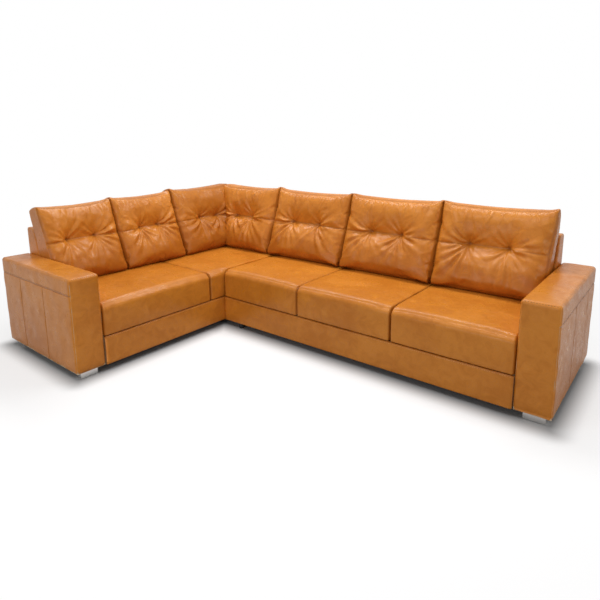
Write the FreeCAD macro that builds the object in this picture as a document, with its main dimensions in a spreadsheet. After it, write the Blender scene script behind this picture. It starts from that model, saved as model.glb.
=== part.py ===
import FreeCAD, Part
import math
import os

import Sketcher

# Corner sofa in two modules that hook together: timber frames, elastic webbing, foam,
# leather covers and seven loose back pillows. Millimetres, +Z up, origin on the floor at the
# middle of the footprint. The long wing runs along X with its back at +Y, and the short
# wing runs along Y with its back at -X.

OUT = "parts"
NEAR = 1e-4  # how close a vertex must be to count as the one that is looked for

# Driving dimensions
SIZES = {
    "wing_depth": (920, "outer back to seat front, both wings"),
    "seat_width": (690, "each of the three seats of the long wing"),
    "left_seat_width": (848, "the one wide seat of the short wing"),
    "corner_overrun": (122, "how far the corner seat runs past the long wing's front"),
    "underside_height": (45, "floor to the underside of the frame"),
    "base_top": (223, "floor to the seam between base and seat"),
    "seat_top": (440, "floor to the top of the seat"),
    "seat_edge_radius": (45, "rounding of the seat's front edge"),
    "arm_width": (185, "width of an arm"),
    "arm_height": (620, "floor to the top of an arm"),
    "arm_setback": (10, "arm front behind the seat front"),
    "arm_edge_radius": (11, "rounding of the arm's edges"),
    "back_top": (800, "floor to the top of the fixed back"),
    "back_top_depth": (110, "thickness of the fixed back at its top"),
    "back_seat_depth": (190, "thickness of the fixed back at the seat"),
    "back_edge_radius": (15, "rounding of the fixed back's top edges"),
    "pillow_overrun": (23, "how much wider than a seat the long wing's pillows are"),
    "end_squeeze": (9, "how much narrower than a seat the pillow beside its arm is"),
    "corner_clearance": (72, "from the long wing's back to the short wing's pillows"),
    "pillow_depth": (200, "horizontal thickness of a back pillow"),
    "pillow_top": (962, "floor to the top of a back pillow"),
    "pillow_top_radius": (50, "rounding of a pillow's top edges"),
    "pillow_foot_radius": (50, "rounding of a pillow's bottom edges"),
    "cover_thickness": (5, "leather with its wadding"),
    "soft_gap": (0.4, "clearance round every soft piece"),
    "foam_thickness": (25, "foam on arms and fixed backs"),
    "rail_thickness": (28, "timber of the rails and posts"),
    "flap_width": (12, "cover turned in over the front rail"),
    "cross_rail_height": (90, "height of a cross rail"),
    "slat_thickness": (18, "horizontal slats behind the back posts"),
    "slat_height": (70, "height of those slats"),
    "strap_width": (60, "elastic webbing"),
    "strap_thickness": (2.4, "elastic webbing"),
    "cross_strap_pitch": (122, "at most this far apart, straps across the seat"),
    "long_strap_pitch": (155, "at most this far apart, straps along the seat"),
    "dust_thickness": (0.8, "non-woven cloth under the frame"),
    "panel_thickness": (6, "plywood sides of an arm"),
    "post_width": (40, "posts inside an arm"),
    "board_thickness": (14, "top and bottom boards of an arm"),
    "foot_length": (106, "polished bar foot"),
    "foot_width": (53, "polished bar foot"),
    "foot_setback": (24, "bar foot behind the arm's front or outer back"),
    "foot_margin": (32, "bar foot from the arm's outer side"),
    "foot_edge_radius": (7, "rounding of the bar foot's bottom edges"),
    "glide_radius": (25, "round plastic glide"),
    "glide_taper": (4, "how much smaller a glide is at the floor"),
    "stud_radius": (4, "stud that holds a foot"),
    "stud_clearance": (0.2, "radial clearance round a stud"),
    "joint_support": (138, "last cross rail of the long module, from the joint"),
    "plate_thickness": (3, "steel of the module connectors"),
    "tongue_width": (40, "connector tongue"),
    "tongue_reach": (40, "how far a tongue enters its socket"),
    "tongue_clearance": (0.5, "round the tongue in its socket"),
    "plate_length": (55, "tongue plate under the long module"),
    "ear_length": (24, "screwed ear each side of a socket"),
    "socket_length": (36, "socket loop along the tongue"),
    "socket_inset": (6, "socket behind the joint between the modules"),
}
SEATS = 3  # on the long wing
LEFT_PILLOWS = 3  # against the short wing's back
RIGHT_BAYS = 4  # spaces between cross rails, long module
LEFT_BAYS = 4
CONNECTORS = (0.42, 0.88)  # places of the two connectors, as shares of the wing depth

doc = FreeCAD.newDocument("CornerSofa")
sheet = doc.addObject("Spreadsheet::Sheet", "Sizes")
for row, (alias, (value, note)) in enumerate(SIZES.items(), 1):
    sheet.set(f"A{row}", note)
    sheet.set(f"B{row}", str(value))
    sheet.setAlias(f"B{row}", alias)
doc.recompute()


class Size:
    """A length: its value in millimetres, and the spreadsheet expression that gives it."""

    def __init__(self, value, text):
        self.value = value
        self.text = text

    def __add__(self, other):
        return combine(self, "+", other, lambda a, b: a + b)

    def __radd__(self, other):
        return combine(other, "+", self, lambda a, b: a + b)

    def __sub__(self, other):
        return combine(self, "-", other, lambda a, b: a - b)

    def __rsub__(self, other):
        return combine(other, "-", self, lambda a, b: a - b)

    def __mul__(self, other):
        return combine(self, "*", other, lambda a, b: a * b)

    def __rmul__(self, other):
        return combine(other, "*", self, lambda a, b: a * b)

    def __truediv__(self, other):
        return combine(self, "/", other, lambda a, b: a / b)


def as_size(value):
    return value if isinstance(value, Size) else Size(float(value), repr(float(value)))


def combine(left, sign, right, rule):
    left, right = as_size(left), as_size(right)
    return Size(rule(left.value, right.value), f"({left.text} {sign} {right.text})")


def size(alias):
    return Size(float(SIZES[alias][0]), "Sizes." + alias)


# Sizes under short names
depth = size("wing_depth")
underside = size("underside_height")
base_top = size("base_top")
seat_top = size("seat_top")
arm_width = size("arm_width")
arm_height = size("arm_height")
back_top = size("back_top")
back_seat_depth = size("back_seat_depth")
cover = size("cover_thickness")
gap = size("soft_gap")
foam = size("foam_thickness")
rail = size("rail_thickness")
flap = size("flap_width")
slat = size("slat_thickness")
slat_height = size("slat_height")
strap = size("strap_thickness")
strap_width = size("strap_width")
dust = size("dust_thickness")
board = size("board_thickness")
panel = size("panel_thickness")
plate = size("plate_thickness")
stud = size("stud_radius")
clearance = size("stud_clearance")

# Sizes that follow from them
right_length = SEATS * size("seat_width")
corner_length = depth + size("corner_overrun")
left_length = corner_length + size("left_seat_width")
half_x = (depth + right_length + arm_width) / 2
half_y = (left_length + arm_width) / 2
arm_depth = depth - size("arm_setback")
rake = (back_seat_depth - size("back_top_depth")) / (back_top - seat_top)
timber_low = underside + cover
timber_high = base_top - cover
inside_top = back_top - cover


def back_face(height):
    """Distance from the outer back to the raked front of the fixed back at a height."""
    return back_seat_depth - rake * (height - seat_top)


def pillow_face(height):
    """Distance from the outer back to the front of a pillow at a height."""
    return back_face(height) + gap + size("pillow_depth")


# Each wing has its own axes: along the wing, away from its outer back, and up.
# The long wing is measured from the right arm's inner face towards the corner, the short
# wing from the outer back of the long wing towards the left arm.
RIGHT, LEFT = "right", "left"
TURN = {RIGHT: 180, LEFT: -90}


def place(piece, wing, along, away, up, turn=0):
    """Puts a piece's own origin at a point of a wing's axes."""
    along, away, up = as_size(along), as_size(away), as_size(up)
    x = half_x - arm_width - along if wing == RIGHT else away - half_x
    y = half_y - away if wing == RIGHT else half_y - along
    spin = FreeCAD.Rotation(FreeCAD.Vector(0, 0, 1), TURN[wing] + turn)
    piece.Placement = FreeCAD.Placement(FreeCAD.Vector(), spin)
    piece.setExpression("Placement.Base.x", x.text)
    piece.setExpression("Placement.Base.y", y.text)
    piece.setExpression("Placement.Base.z", up.text)
    return piece


def box(label, wing, along, away, up):
    """A block between two values along each of the wing's axes."""
    piece = doc.addObject("Part::Box", label)
    piece.Label = label
    for name, (low, high) in zip(("Length", "Width", "Height"), (along, away, up)):
        piece.setExpression(name, (as_size(high) - low).text)
    return place(piece, wing, along[0], away[0], up[0])


def rod(label, wing, along, away, up, radius):
    """An upright cylinder between two heights."""
    piece = doc.addObject("Part::Cylinder", label)
    piece.Label = label
    piece.setExpression("Radius", radius.text)
    piece.setExpression("Height", (as_size(up[1]) - up[0]).text)
    return place(piece, wing, along, away, up[0])


def group(label, pieces):
    """Separate solids under one name."""
    piece = doc.addObject("Part::Compound", label)
    piece.Label = label
    piece.Links = pieces
    return piece


def cut(label, base, tool):
    piece = doc.addObject("Part::Cut", label)
    piece.Label = label
    piece.Base = base
    piece.Tool = tool
    return piece


def fuse(label, pieces):
    piece = doc.addObject("Part::MultiFuse", label)
    piece.Label = label
    piece.Shapes = pieces
    piece.Refine = True
    return piece


def draw(sketch, points):
    """A closed outline through points given as two distances from the sketch's origin."""
    values = [FreeCAD.Vector(as_size(a).value, as_size(b).value, 0) for a, b in points]
    count = len(points)
    for i in range(count):
        sketch.addGeometry(Part.LineSegment(values[i], values[(i + 1) % count]), False)
    for i in range(count):
        sketch.addConstraint(
            Sketcher.Constraint("Coincident", i, 2, (i + 1) % count, 1)
        )
    for i, pair in enumerate(points):
        for kind, axis, distance in zip(("DistanceX", "DistanceY"), (-2, -1), pair):
            distance = as_size(distance)
            if distance.value == 0:
                sketch.addConstraint(Sketcher.Constraint("PointOnObject", i, 1, axis))
                continue
            place_of = Sketcher.Constraint(kind, -1, 1, i, 1, distance.value)
            index = sketch.addConstraint(place_of)
            sketch.setExpression(f"Constraints[{index}]", distance.text)


def prism(label, wing, along, points, rounded=(), up=0, away=0, turn=0):
    """An outline in the plane across the wing, padded along it, with some edges rounded.
    rounded holds (corner numbers, radius) pairs."""
    body = doc.addObject("PartDesign::Body", label)
    body.Label = label
    sketch = body.newObject("Sketcher::SketchObject", label + "_outline")
    planes = [f for f in body.Origin.OriginFeatures if f.Role == "YZ_Plane"]
    sketch.AttachmentSupport = [(planes[0], "")]
    sketch.MapMode = "FlatFace"
    draw(sketch, points)
    feature = body.newObject("PartDesign::Pad", label + "_pad")
    feature.Profile = sketch
    feature.setExpression("Length", (as_size(along[1]) - along[0]).text)
    for corners, radius in rounded:
        doc.recompute()
        edges = [
            f"Edge{n}"
            for n, edge in enumerate(feature.Shape.Edges, 1)
            if any(runs_at(edge, points[corner]) for corner in corners)
        ]
        fillet = body.newObject("PartDesign::Fillet", f"{label}_round{corners[0]}")
        fillet.Base = (feature, edges)
        fillet.setExpression("Radius", radius.text)
        feature = fillet
    body.Tip = feature
    return place(body, wing, along[0], away, up, turn)


def runs_at(edge, corner):
    """Whether an edge runs along the wing at a corner of the outline."""
    across, height = as_size(corner[0]).value, as_size(corner[1]).value
    return all(
        abs(v.Y - across) < NEAR and abs(v.Z - height) < NEAR for v in edge.Vertexes
    )


def round_all(label, block, wanted, radius):
    """Rounds the edges of a block that wanted() picks."""
    doc.recompute()
    picked = [n for n, e in enumerate(block.Shape.Edges, 1) if wanted(e)]
    piece = doc.addObject("Part::Fillet", label)
    piece.Label = label
    piece.Base = block
    piece.Edges = [(n, radius.value, radius.value) for n in picked]
    return piece


# Base of a module
def stations(start, length, bays):
    """Where the cross rails and back posts stand, between the ends of a module."""
    return [start + length * (i / bays) for i in range(1, bays)]


def base(prefix, wing, start, end, places):
    """Skirt, rails, cross rails and webbing between two distances along the wing."""
    front = depth - cover
    skirt = prism(
        prefix + "_base_cover",
        wing,
        (start, end),
        [
            (front - flap, underside),
            (depth, underside),
            (depth, base_top),
            (front - flap, base_top),
            (front - flap, timber_high),
            (front, timber_high),
            (front, timber_low),
            (front - flap, timber_low),
        ],
    )
    timber = (timber_low, timber_high)
    behind, before = back_seat_depth + rail, front - rail
    end_timber = (timber_low, timber_high + strap)
    rails = [
        box(prefix + "_front_rail", wing, (start, end), (before, front), timber),
        box(
            prefix + "_rear_rail",
            wing,
            (start, end),
            (back_seat_depth, behind),
            timber,
        ),
        box(
            prefix + "_near_end_rail",
            wing,
            (start, start + rail),
            (behind, before),
            end_timber,
        ),
        box(
            prefix + "_far_end_rail",
            wing,
            (end - rail, end),
            (behind, before),
            end_timber,
        ),
    ]
    low = (timber_low, timber_low + size("cross_rail_height"))
    crosses = [
        box(
            f"{prefix}_cross_rail_{i}",
            wing,
            (s - rail / 2, s + rail / 2),
            (behind, before),
            low,
        )
        for i, s in enumerate(places, 1)
    ]
    return skirt, rails, crosses, webbing(prefix, wing, start, end)


def spaced(first, room, pitch_name):
    """Where straps start, evenly spaced over the room that their first edges have."""
    gaps = math.ceil(room.value / size(pitch_name).value)
    return [first + room * (i / gaps) for i in range(gaps + 1)]


def webbing(prefix, wing, start, end):
    """Elastic straps across the seat, and a second layer along it."""
    rear, front = back_seat_depth, depth - cover - flap
    across_room = end - start - 2 * rail - strap_width
    along_room = front - rear - 2 * rail - strap_width
    across = spaced(start + rail, across_room, "cross_strap_pitch")
    along = spaced(rear + rail, along_room, "long_strap_pitch")
    level = timber_high
    pieces = [
        box(
            f"{prefix}_strap_across_{i}",
            wing,
            (edge, edge + strap_width),
            (rear, front),
            (level, level + strap),
        )
        for i, edge in enumerate(across, 1)
    ]
    pieces += [
        box(
            f"{prefix}_strap_along_{i}",
            wing,
            (start, end),
            (edge, edge + strap_width),
            (level + strap, level + 2 * strap),
        )
        for i, edge in enumerate(along, 1)
    ]
    return group(prefix + "_webbing", pieces)


def dust_cover(label, wing, length):
    """The cloth that closes the underside of a module."""
    return box(
        label,
        wing,
        (cover, length - cover),
        (cover, depth - cover - flap),
        (timber_low - dust, timber_low),
    )


# Fixed back
def back_outline(grow=0, low=underside):
    """The fixed back from the side. It grows forwards only."""
    return [
        (0, low),
        (back_seat_depth + grow, low),
        (back_seat_depth + grow, seat_top),
        (back_face(back_top) + grow, back_top),
        (0, back_top),
    ]


def back(prefix, wing, start, end, timber_end, places, trim=None, inner_trim=None):
    """Cover, foam and timber of a fixed back. A trim is what another back has cut off it."""
    outer = prism(
        prefix + "_back_block",
        wing,
        (start, end),
        back_outline(),
        [((3, 4), size("back_edge_radius"))],
    )
    hollow = prism(
        prefix + "_back_hollow",
        wing,
        (start + cover, end - cover),
        [
            (cover, underside - cover),
            (back_seat_depth + cover, underside - cover),
            (back_seat_depth + cover, base_top),
            (back_seat_depth - cover, base_top),
            (back_seat_depth - cover, seat_top),
            (back_face(inside_top) - cover, inside_top),
            (cover, inside_top),
        ],
    )
    pad = prism(
        prefix + "_back_foam" + ("_blank" if trim else ""),
        wing,
        (start + cover, end - cover),
        [
            (back_seat_depth - cover - foam, base_top),
            (back_seat_depth - cover, base_top),
            (back_seat_depth - cover, seat_top),
            (back_face(inside_top) - cover, inside_top),
            (back_face(inside_top) - cover - foam, inside_top),
            (back_seat_depth - cover - foam, seat_top),
        ],
    )
    if trim:
        outer = cut(prefix + "_back_mitred", outer, trim)
        hollow = cut(prefix + "_back_hollow_mitred", hollow, inner_trim)
        pad = cut(prefix + "_back_foam", pad, inner_trim)
    shell = cut(prefix + "_back_cover", outer, hollow)
    return shell, pad, back_timber(prefix, wing, start + cover, timber_end, places)


def back_timber(prefix, wing, start, end, places):
    """Raked posts, a top rail on them and three slats behind them."""
    rear = cover + slat
    top = inside_top - rail
    raked = [
        (rear, timber_low),
        (back_seat_depth, timber_low),
        (back_seat_depth, base_top),
        (back_seat_depth - cover - foam, base_top),
        (back_seat_depth - cover - foam, seat_top),
        (back_face(top) - cover - foam, top),
        (rear, top),
    ]
    feet = [start] + [s - rail / 2 for s in places] + [end - rail]
    pieces = [
        prism(f"{prefix}_back_post_{i}", wing, (s, s + rail), raked)
        for i, s in enumerate(feet, 1)
    ]
    top_depth = back_face(inside_top) - cover - foam
    pieces.append(
        box(
            prefix + "_back_top_rail",
            wing,
            (start, end),
            (cover, top_depth),
            (top, inside_top),
        )
    )
    for i, height in enumerate((timber_low, seat_top - slat_height, top - slat_height)):
        pieces.append(
            box(
                f"{prefix}_back_slat_{i + 1}",
                wing,
                (start, end),
                (cover, rear),
                (height, height + slat_height),
            )
        )
    return pieces


# Arms
def arm(prefix, wing, start):
    """Cover, foam, plywood sides and timber of an arm that starts at a distance along."""
    end = start + arm_width
    block = box(
        prefix + "_arm_block", wing, (start, end), (0, arm_depth), (underside, arm_height)
    )
    floor = underside.value

    def above_floor(edge):
        return not all(abs(v.Z - floor) < NEAR for v in edge.Vertexes)

    outer = round_all(
        prefix + "_arm_rounded", block, above_floor, size("arm_edge_radius")
    )
    within = (start + cover, end - cover)
    deep = (cover, arm_depth - cover)
    top = arm_height - cover
    hollow = box(prefix + "_arm_hollow", wing, within, deep, (underside - cover, top))
    shell = cut(prefix + "_arm_cover", outer, hollow)
    pad = box(prefix + "_arm_foam", wing, within, deep, (top - foam, top))
    high = top - foam
    sides = group(
        prefix + "_arm_panels",
        [
            box(
                prefix + "_arm_inner_panel",
                wing,
                (within[0], within[0] + panel),
                deep,
                (underside, high),
            ),
            box(
                prefix + "_arm_outer_panel",
                wing,
                (within[1] - panel, within[1]),
                deep,
                (underside, high),
            ),
        ],
    )
    core = (within[0] + panel, within[1] - panel)
    width = size("post_width")
    low_board = (underside, underside + board)
    pieces = [
        box(prefix + "_arm_bottom_board", wing, core, deep, low_board),
        box(prefix + "_arm_top_board", wing, core, deep, (high - board, high)),
    ]
    for i, away in enumerate((cover, (arm_depth - width) / 2, arm_depth - cover - width)):
        pieces.append(
            box(
                f"{prefix}_arm_post_{i + 1}",
                wing,
                core,
                (away, away + width),
                (underside + board, high - board),
            )
        )
    return shell, pad, sides, pieces


# Cushions
def cushion(label, wing, along, outline, rounded, trims=None):
    """A leather cover and the filling inside it. outline(inset) gives the side view."""
    blocks = []
    for part_name, inset, trim in zip(
        ("block", "filling"), (0 * cover, cover), trims or (None, None)
    ):
        last = part_name == "filling" and not trim
        blocks.append(
            prism(
                f"{label}_{part_name}" if last or part_name == "block" else label + "_raw",
                wing,
                (along[0] + gap + inset, along[1] - gap - inset),
                outline(inset),
                [(corners, radius - inset) for corners, radius in rounded],
            )
        )
        if trim:
            name = f"{label}_{part_name}" + ("_trimmed" if part_name == "block" else "")
            blocks[-1] = cut(name, blocks[-1], trim)
    return cut(label + "_cover", blocks[0], blocks[1]), blocks[1]


def seat_outline(inset):
    rear = back_seat_depth + gap + inset
    low = base_top + gap + inset
    return [
        (rear, low),
        (depth - inset, low),
        (depth - inset, seat_top - inset),
        (rear, seat_top - inset),
    ]


def corner_seat(label):
    """The seat in the corner. Its front edge is rounded only where it is not beside the
    long wing's first seat, from where that seat's own rounding starts."""
    radius = size("seat_edge_radius")
    meeting = depth - radius
    blocks = []
    for part_name, inset in (("block", 0 * cover), ("filling", cover)):
        outline = seat_outline(inset)
        near = back_seat_depth + gap + inset
        far = corner_length - gap - inset
        name = f"{label}_{part_name}"
        beside = prism(name + "_beside", LEFT, (near, meeting), outline)
        rounded = [((2,), radius - inset)]
        clear = prism(name + "_clear", LEFT, (meeting, far), outline, rounded)
        blocks.append(fuse(name, [beside, clear]))
    return cut(label + "_cover", blocks[0], blocks[1]), blocks[1]


def pillow_outline(inset):
    """A pillow from the side: flat on the seat, raked like the back that it leans on."""
    low = seat_top + gap + inset
    high = size("pillow_top") - inset
    return [
        (back_face(low) + gap + inset, low),
        (pillow_face(low) - inset, low),
        (pillow_face(high) - inset, high),
        (back_face(high) + gap + inset, high),
    ]


def seat(label, wing, start, end):
    rounded = [((2,), size("seat_edge_radius"))]
    return cushion(label, wing, (start, end), seat_outline, rounded)


def pillow(label, wing, start, end, trims=None):
    rounded = [
        ((2, 3), size("pillow_top_radius")),
        ((1,), size("pillow_foot_radius")),
    ]
    return cushion(label, wing, (start, end), pillow_outline, rounded, trims)


def beside_left_pillows(label, extra):
    """The space of the short wing's pillows, which the corner pillow must stay out of."""
    high = size("pillow_top") + foam
    return prism(
        label,
        LEFT,
        (0, corner_length),
        [
            (0, base_top),
            (pillow_face(seat_top) + gap + extra, base_top),
            (pillow_face(seat_top) + gap + extra, seat_top),
            (pillow_face(high) + gap + extra, high),
            (0, high),
        ],
    )


# Feet
def bar_foot(label, wing, along, away, turn=0):
    """A polished bar with rounded bottom edges, its length along the wing."""
    width = size("foot_width")
    outline = [(0, 0), (width, 0), (width, underside), (0, underside)]
    rounded = [((0, 1), size("foot_edge_radius"))]
    body = prism(label, wing, (0, size("foot_length")), outline, rounded)
    return place(body, wing, along, away, 0, turn)


def glide(label, wing, along, away):
    piece = doc.addObject("Part::Cone", label)
    piece.Label = label
    radius = size("glide_radius")
    piece.setExpression("Radius1", (radius - size("glide_taper")).text)
    piece.setExpression("Radius2", radius.text)
    piece.setExpression("Height", (timber_low - dust).text)
    return place(piece, wing, along, away, 0)


studs, bores = [], []


def stud_at(label, wing, along, away, low, high, radius):
    """A stud, and the hole that it goes through."""
    studs.append(rod(label, wing, along, away, (low, high), radius))
    bores.append(
        rod(label + "_bore", wing, along, away, (low, high), radius + clearance)
    )


def arm_feet(prefix, wing, start, outer_side):
    """A front foot across the arm and a rear foot along it, each on two studs."""
    length, width = size("foot_length"), size("foot_width")
    inset, margin = size("foot_setback"), size("foot_margin")
    end = start + arm_width
    front_along = end - margin - length if outer_side else start + margin
    front_away = arm_depth - inset - width
    rear_along = end - margin if outer_side else start + margin + width
    feet = [
        bar_foot(prefix + "_front_foot", wing, front_along, front_away),
        bar_foot(prefix + "_rear_foot", wing, rear_along, inset, 90),
    ]
    for i, share in enumerate((0.25, 0.75), 1):
        places = {
            "front": (front_along + length * share, front_away + width / 2),
            "rear": (rear_along - width / 2, inset + length * share),
        }
        for name, (along, away) in places.items():
            label = f"{prefix}_{name}_stud_{i}"
            stud_at(label, wing, along, away, underside, underside + board, stud)
    return feet


def module_glides(prefix, wing, places):
    """A glide under each place, which is given along the wing and away from its back."""
    return [
        glide(f"{prefix}_glide_{i}", wing, along, away)
        for i, (along, away) in enumerate(places, 1)
    ]


# Connectors between the modules
def connector(number, share):
    """A steel tongue under the long module that slides into a loop under the short one."""
    middle = depth * share
    width, reach = size("tongue_width"), size("tongue_reach")
    room = size("tongue_clearance")
    beside = (middle - width / 2, middle + width / 2)
    loop_top = underside - plate
    tongue_low = loop_top - room - plate
    plate_top = timber_low - dust
    step = right_length - size("socket_inset")
    tongue = fuse(
        f"tongue_{number}",
        [
            box(
                f"tongue_plate_{number}",
                RIGHT,
                (right_length - size("plate_length"), step),
                beside,
                (plate_top - plate, plate_top),
            ),
            box(
                f"tongue_step_{number}",
                RIGHT,
                (step - plate, step),
                beside,
                (tongue_low, plate_top),
            ),
            box(
                f"tongue_blade_{number}",
                RIGHT,
                (step - plate, right_length + reach),
                beside,
                (tongue_low, tongue_low + plate),
            ),
        ],
    )
    slot = (beside[0] - room, beside[1] + room)
    slot_low = tongue_low - room
    near = depth - size("socket_inset")
    far = near - size("socket_length")
    ear = size("ear_length")
    blank = fuse(
        f"socket_blank_{number}",
        [
            box(
                f"socket_ears_{number}",
                LEFT,
                (slot[0] - plate - ear, slot[1] + plate + ear),
                (far, near),
                (loop_top, underside),
            ),
            box(
                f"socket_loop_{number}",
                LEFT,
                (slot[0] - plate, slot[1] + plate),
                (far, near),
                (slot_low - plate, loop_top),
            ),
        ],
    )
    opening = box(
        f"socket_slot_{number}",
        LEFT,
        slot,
        (far - plate, near + plate),
        (slot_low, loop_top),
    )
    socket = cut(f"socket_{number}", blank, opening)
    return tongue, socket


# The sofa
nodes = []


def keep(piece):
    """Marks a piece as a sub-part that is written out."""
    nodes.append(piece)
    return piece


last_place = right_length - size("joint_support")
right_places = stations(0, last_place, RIGHT_BAYS) + [last_place]
left_places = stations(back_seat_depth, left_length - back_seat_depth, LEFT_BAYS)

right_base = base(RIGHT, RIGHT, 0, right_length, right_places)
left_base = base(LEFT, LEFT, back_seat_depth, left_length, left_places)

glide_front = depth - cover - flap - size("glide_radius")
glide_middle = (depth + back_seat_depth) / 2
post_glide = cover + slat + size("glide_radius")
rail_glide = back_seat_depth + rail + size("glide_radius")
corner_rail = back_seat_depth + rail / 2
long_glides = [
    (last_place, glide_front),
    (last_place, post_glide),
    (right_places[1], glide_middle),
]
short_glides = [
    (corner_rail, glide_front),
    (corner_rail, rail_glide),
    (left_places[1], glide_middle),
]
glides = module_glides(RIGHT, RIGHT, long_glides) + module_glides(LEFT, LEFT, short_glides)
bars = arm_feet(RIGHT, RIGHT, 0 - arm_width, False)
bars += arm_feet(LEFT, LEFT, left_length, True)

connectors = [connector(n, share) for n, share in enumerate(CONNECTORS, 1)]
keep(group("connector_tongues", [t for t, _ in connectors]))
keep(group("connector_sockets", [s for _, s in connectors]))
keep(group("metal_feet", bars))
keep(group("plastic_glides", glides))
keep(group("foot_studs", studs))
bore_group = group("bores", bores)

for name, parts, length in (
    (RIGHT, right_base, right_length),
    (LEFT, left_base, left_length),
):
    skirt, rails, crosses, straps = parts
    keep(skirt)
    keep(group(name + "_base_rails", rails))
    keep(group(name + "_cross_rails", crosses))
    keep(straps)
    keep(dust_cover(name + "_dust_cover", name, length))

corner_end = right_length + depth
left_trim = prism("left_back_space", LEFT, (0, corner_length), back_outline())
inner_outline = back_outline(cover, base_top)
inner_trim = prism("left_back_space_grown", LEFT, (0, corner_length), inner_outline)
backs = {
    "right": back(
        "right", RIGHT, 0, right_length, right_length - cover, right_places
    ),
    "left": back("left", LEFT, 0, left_length, left_length - cover, left_places),
    "corner": back(
        "corner",
        RIGHT,
        right_length,
        corner_end - size("back_top_depth") / 2,
        corner_end - back_seat_depth - cover,
        [right_length + (depth - back_seat_depth) / 2],
        left_trim,
        inner_trim,
    ),
}
for name, (shell, pad, timber) in backs.items():
    keep(shell)
    keep(pad)
    keep(group(name + "_back_frame", timber))

for name, wing, start in ((RIGHT, RIGHT, 0 - arm_width), (LEFT, LEFT, left_length)):
    shell, pad, sides, timber = arm(name, wing, start)
    keep(shell)
    keep(pad)
    keep(sides)
    keep(cut(name + "_arm_frame", group(name + "_arm_timber", timber), bore_group))

cushions = []
for n in range(1, SEATS + 1):
    start = (SEATS - n) * size("seat_width")
    cushions.append(seat(f"seat_{n}", RIGHT, start, start + size("seat_width")))
cushions.append(corner_seat("corner_seat"))
cushions.append(seat("left_seat", LEFT, corner_length, left_length))

pillow_width = size("seat_width") + size("pillow_overrun")
end_pillow = size("seat_width") - size("end_squeeze")
ends = [0 * gap] + [end_pillow + n * pillow_width for n in range(SEATS)]
for n in range(1, SEATS + 1):
    start, end = ends[SEATS - n], ends[SEATS - n + 1]
    cushions.append(pillow(f"pillow_{n}", RIGHT, start, end))
first_pillow = back_seat_depth + size("corner_clearance")
left_pillow = (left_length - first_pillow) / LEFT_PILLOWS
for n in range(1, LEFT_PILLOWS + 1):
    end = left_length - (LEFT_PILLOWS - n) * left_pillow
    cushions.append(pillow(f"left_pillow_{n}", LEFT, end - left_pillow, end))
trims = [
    beside_left_pillows("left_pillow_space", gap),
    beside_left_pillows("left_pillow_space_grown", gap + cover),
]
cushions.append(
    pillow("corner_pillow", RIGHT, ends[-1], corner_end - foam, trims)
)
for shell, filling in cushions:
    keep(shell)
    keep(filling)

doc.recompute()
for item in doc.Objects:
    if "Invalid" in item.State or "Error" in item.State:
        raise SystemExit(f"{item.Label} failed: {item.State}")
os.makedirs(OUT, exist_ok=True)
for piece in nodes:
    if piece.Shape.isNull() or not piece.Shape.isValid() or not piece.Shape.Solids:
        raise SystemExit(f"{piece.Label} has no valid solid")
    piece.Shape.exportStep(os.path.join(OUT, piece.Label + ".step"))
print(f"{len(nodes)} sub-parts, {sum(len(p.Shape.Solids) for p in nodes)} solids")
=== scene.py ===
import math

import bpy
import numpy as np
from mathutils import Matrix, Vector
from mathutils.bvhtree import BVHTree


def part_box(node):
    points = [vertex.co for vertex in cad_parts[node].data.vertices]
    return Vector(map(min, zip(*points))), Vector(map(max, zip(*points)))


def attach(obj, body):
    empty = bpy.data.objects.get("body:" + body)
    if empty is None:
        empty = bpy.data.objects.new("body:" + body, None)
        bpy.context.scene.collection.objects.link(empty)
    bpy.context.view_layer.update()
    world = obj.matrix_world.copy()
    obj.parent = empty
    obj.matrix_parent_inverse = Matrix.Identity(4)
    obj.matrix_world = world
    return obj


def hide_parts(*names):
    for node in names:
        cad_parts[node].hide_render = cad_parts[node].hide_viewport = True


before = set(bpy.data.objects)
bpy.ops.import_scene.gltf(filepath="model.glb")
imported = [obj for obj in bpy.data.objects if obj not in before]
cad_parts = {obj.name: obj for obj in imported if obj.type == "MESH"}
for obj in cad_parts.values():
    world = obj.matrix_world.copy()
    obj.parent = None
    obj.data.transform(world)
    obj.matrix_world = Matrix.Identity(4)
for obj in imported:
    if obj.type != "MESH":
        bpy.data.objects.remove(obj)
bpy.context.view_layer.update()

# Corner sofa in caramel leather. Metres, +Z up. Each wing is shaped as somebody who stands
# in front of it sees it: right along the wing, up, and out towards the room.
# long wing:  frame = (right, -out, up)      short wing:  frame = (out, right, up)

sofaPlan = {
    "backTopDepth": 0.110,      # fixed back at its top, the rest is read from the model
    "gap": 0.0004,              # kept between pieces that stand against each other
}
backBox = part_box("right_back_cover")
sofaPlan["outerLong"] = -backBox[1].y               # rear plane of the long wing, as out
sofaPlan["outerShort"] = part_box("left_back_cover")[0].x
sofaPlan["backSeatDepth"] = backBox[1].y - backBox[0].y
sofaPlan["backTop"] = backBox[1].z
sofaPlan["underside"] = backBox[0].z
sofaPlan["seatTop"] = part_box("seat_1_cover")[1].z
sofaPlan["rake"] = (sofaPlan["backSeatDepth"] - sofaPlan["backTopDepth"]) / (
    sofaPlan["backTop"] - sofaPlan["seatTop"])
onFace = 1e-6                   # how near a box's side a point counts as lying on it


# mesh tools

def toFrame(points, wing):
    # turns (right, up, out) of a wing into the frame's x, y, z
    right, up, out = points.T
    if wing == "long":
        return np.stack([right, -out, up], 1)
    return np.stack([out, right, up], 1)


def fromFrame(points, wing):
    # turns the frame's x, y, z into (right, up, out) of a wing
    x, y, z = points.T
    if wing == "long":
        return np.stack([x, z, -y], 1)
    return np.stack([y, z, x], 1)


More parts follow.
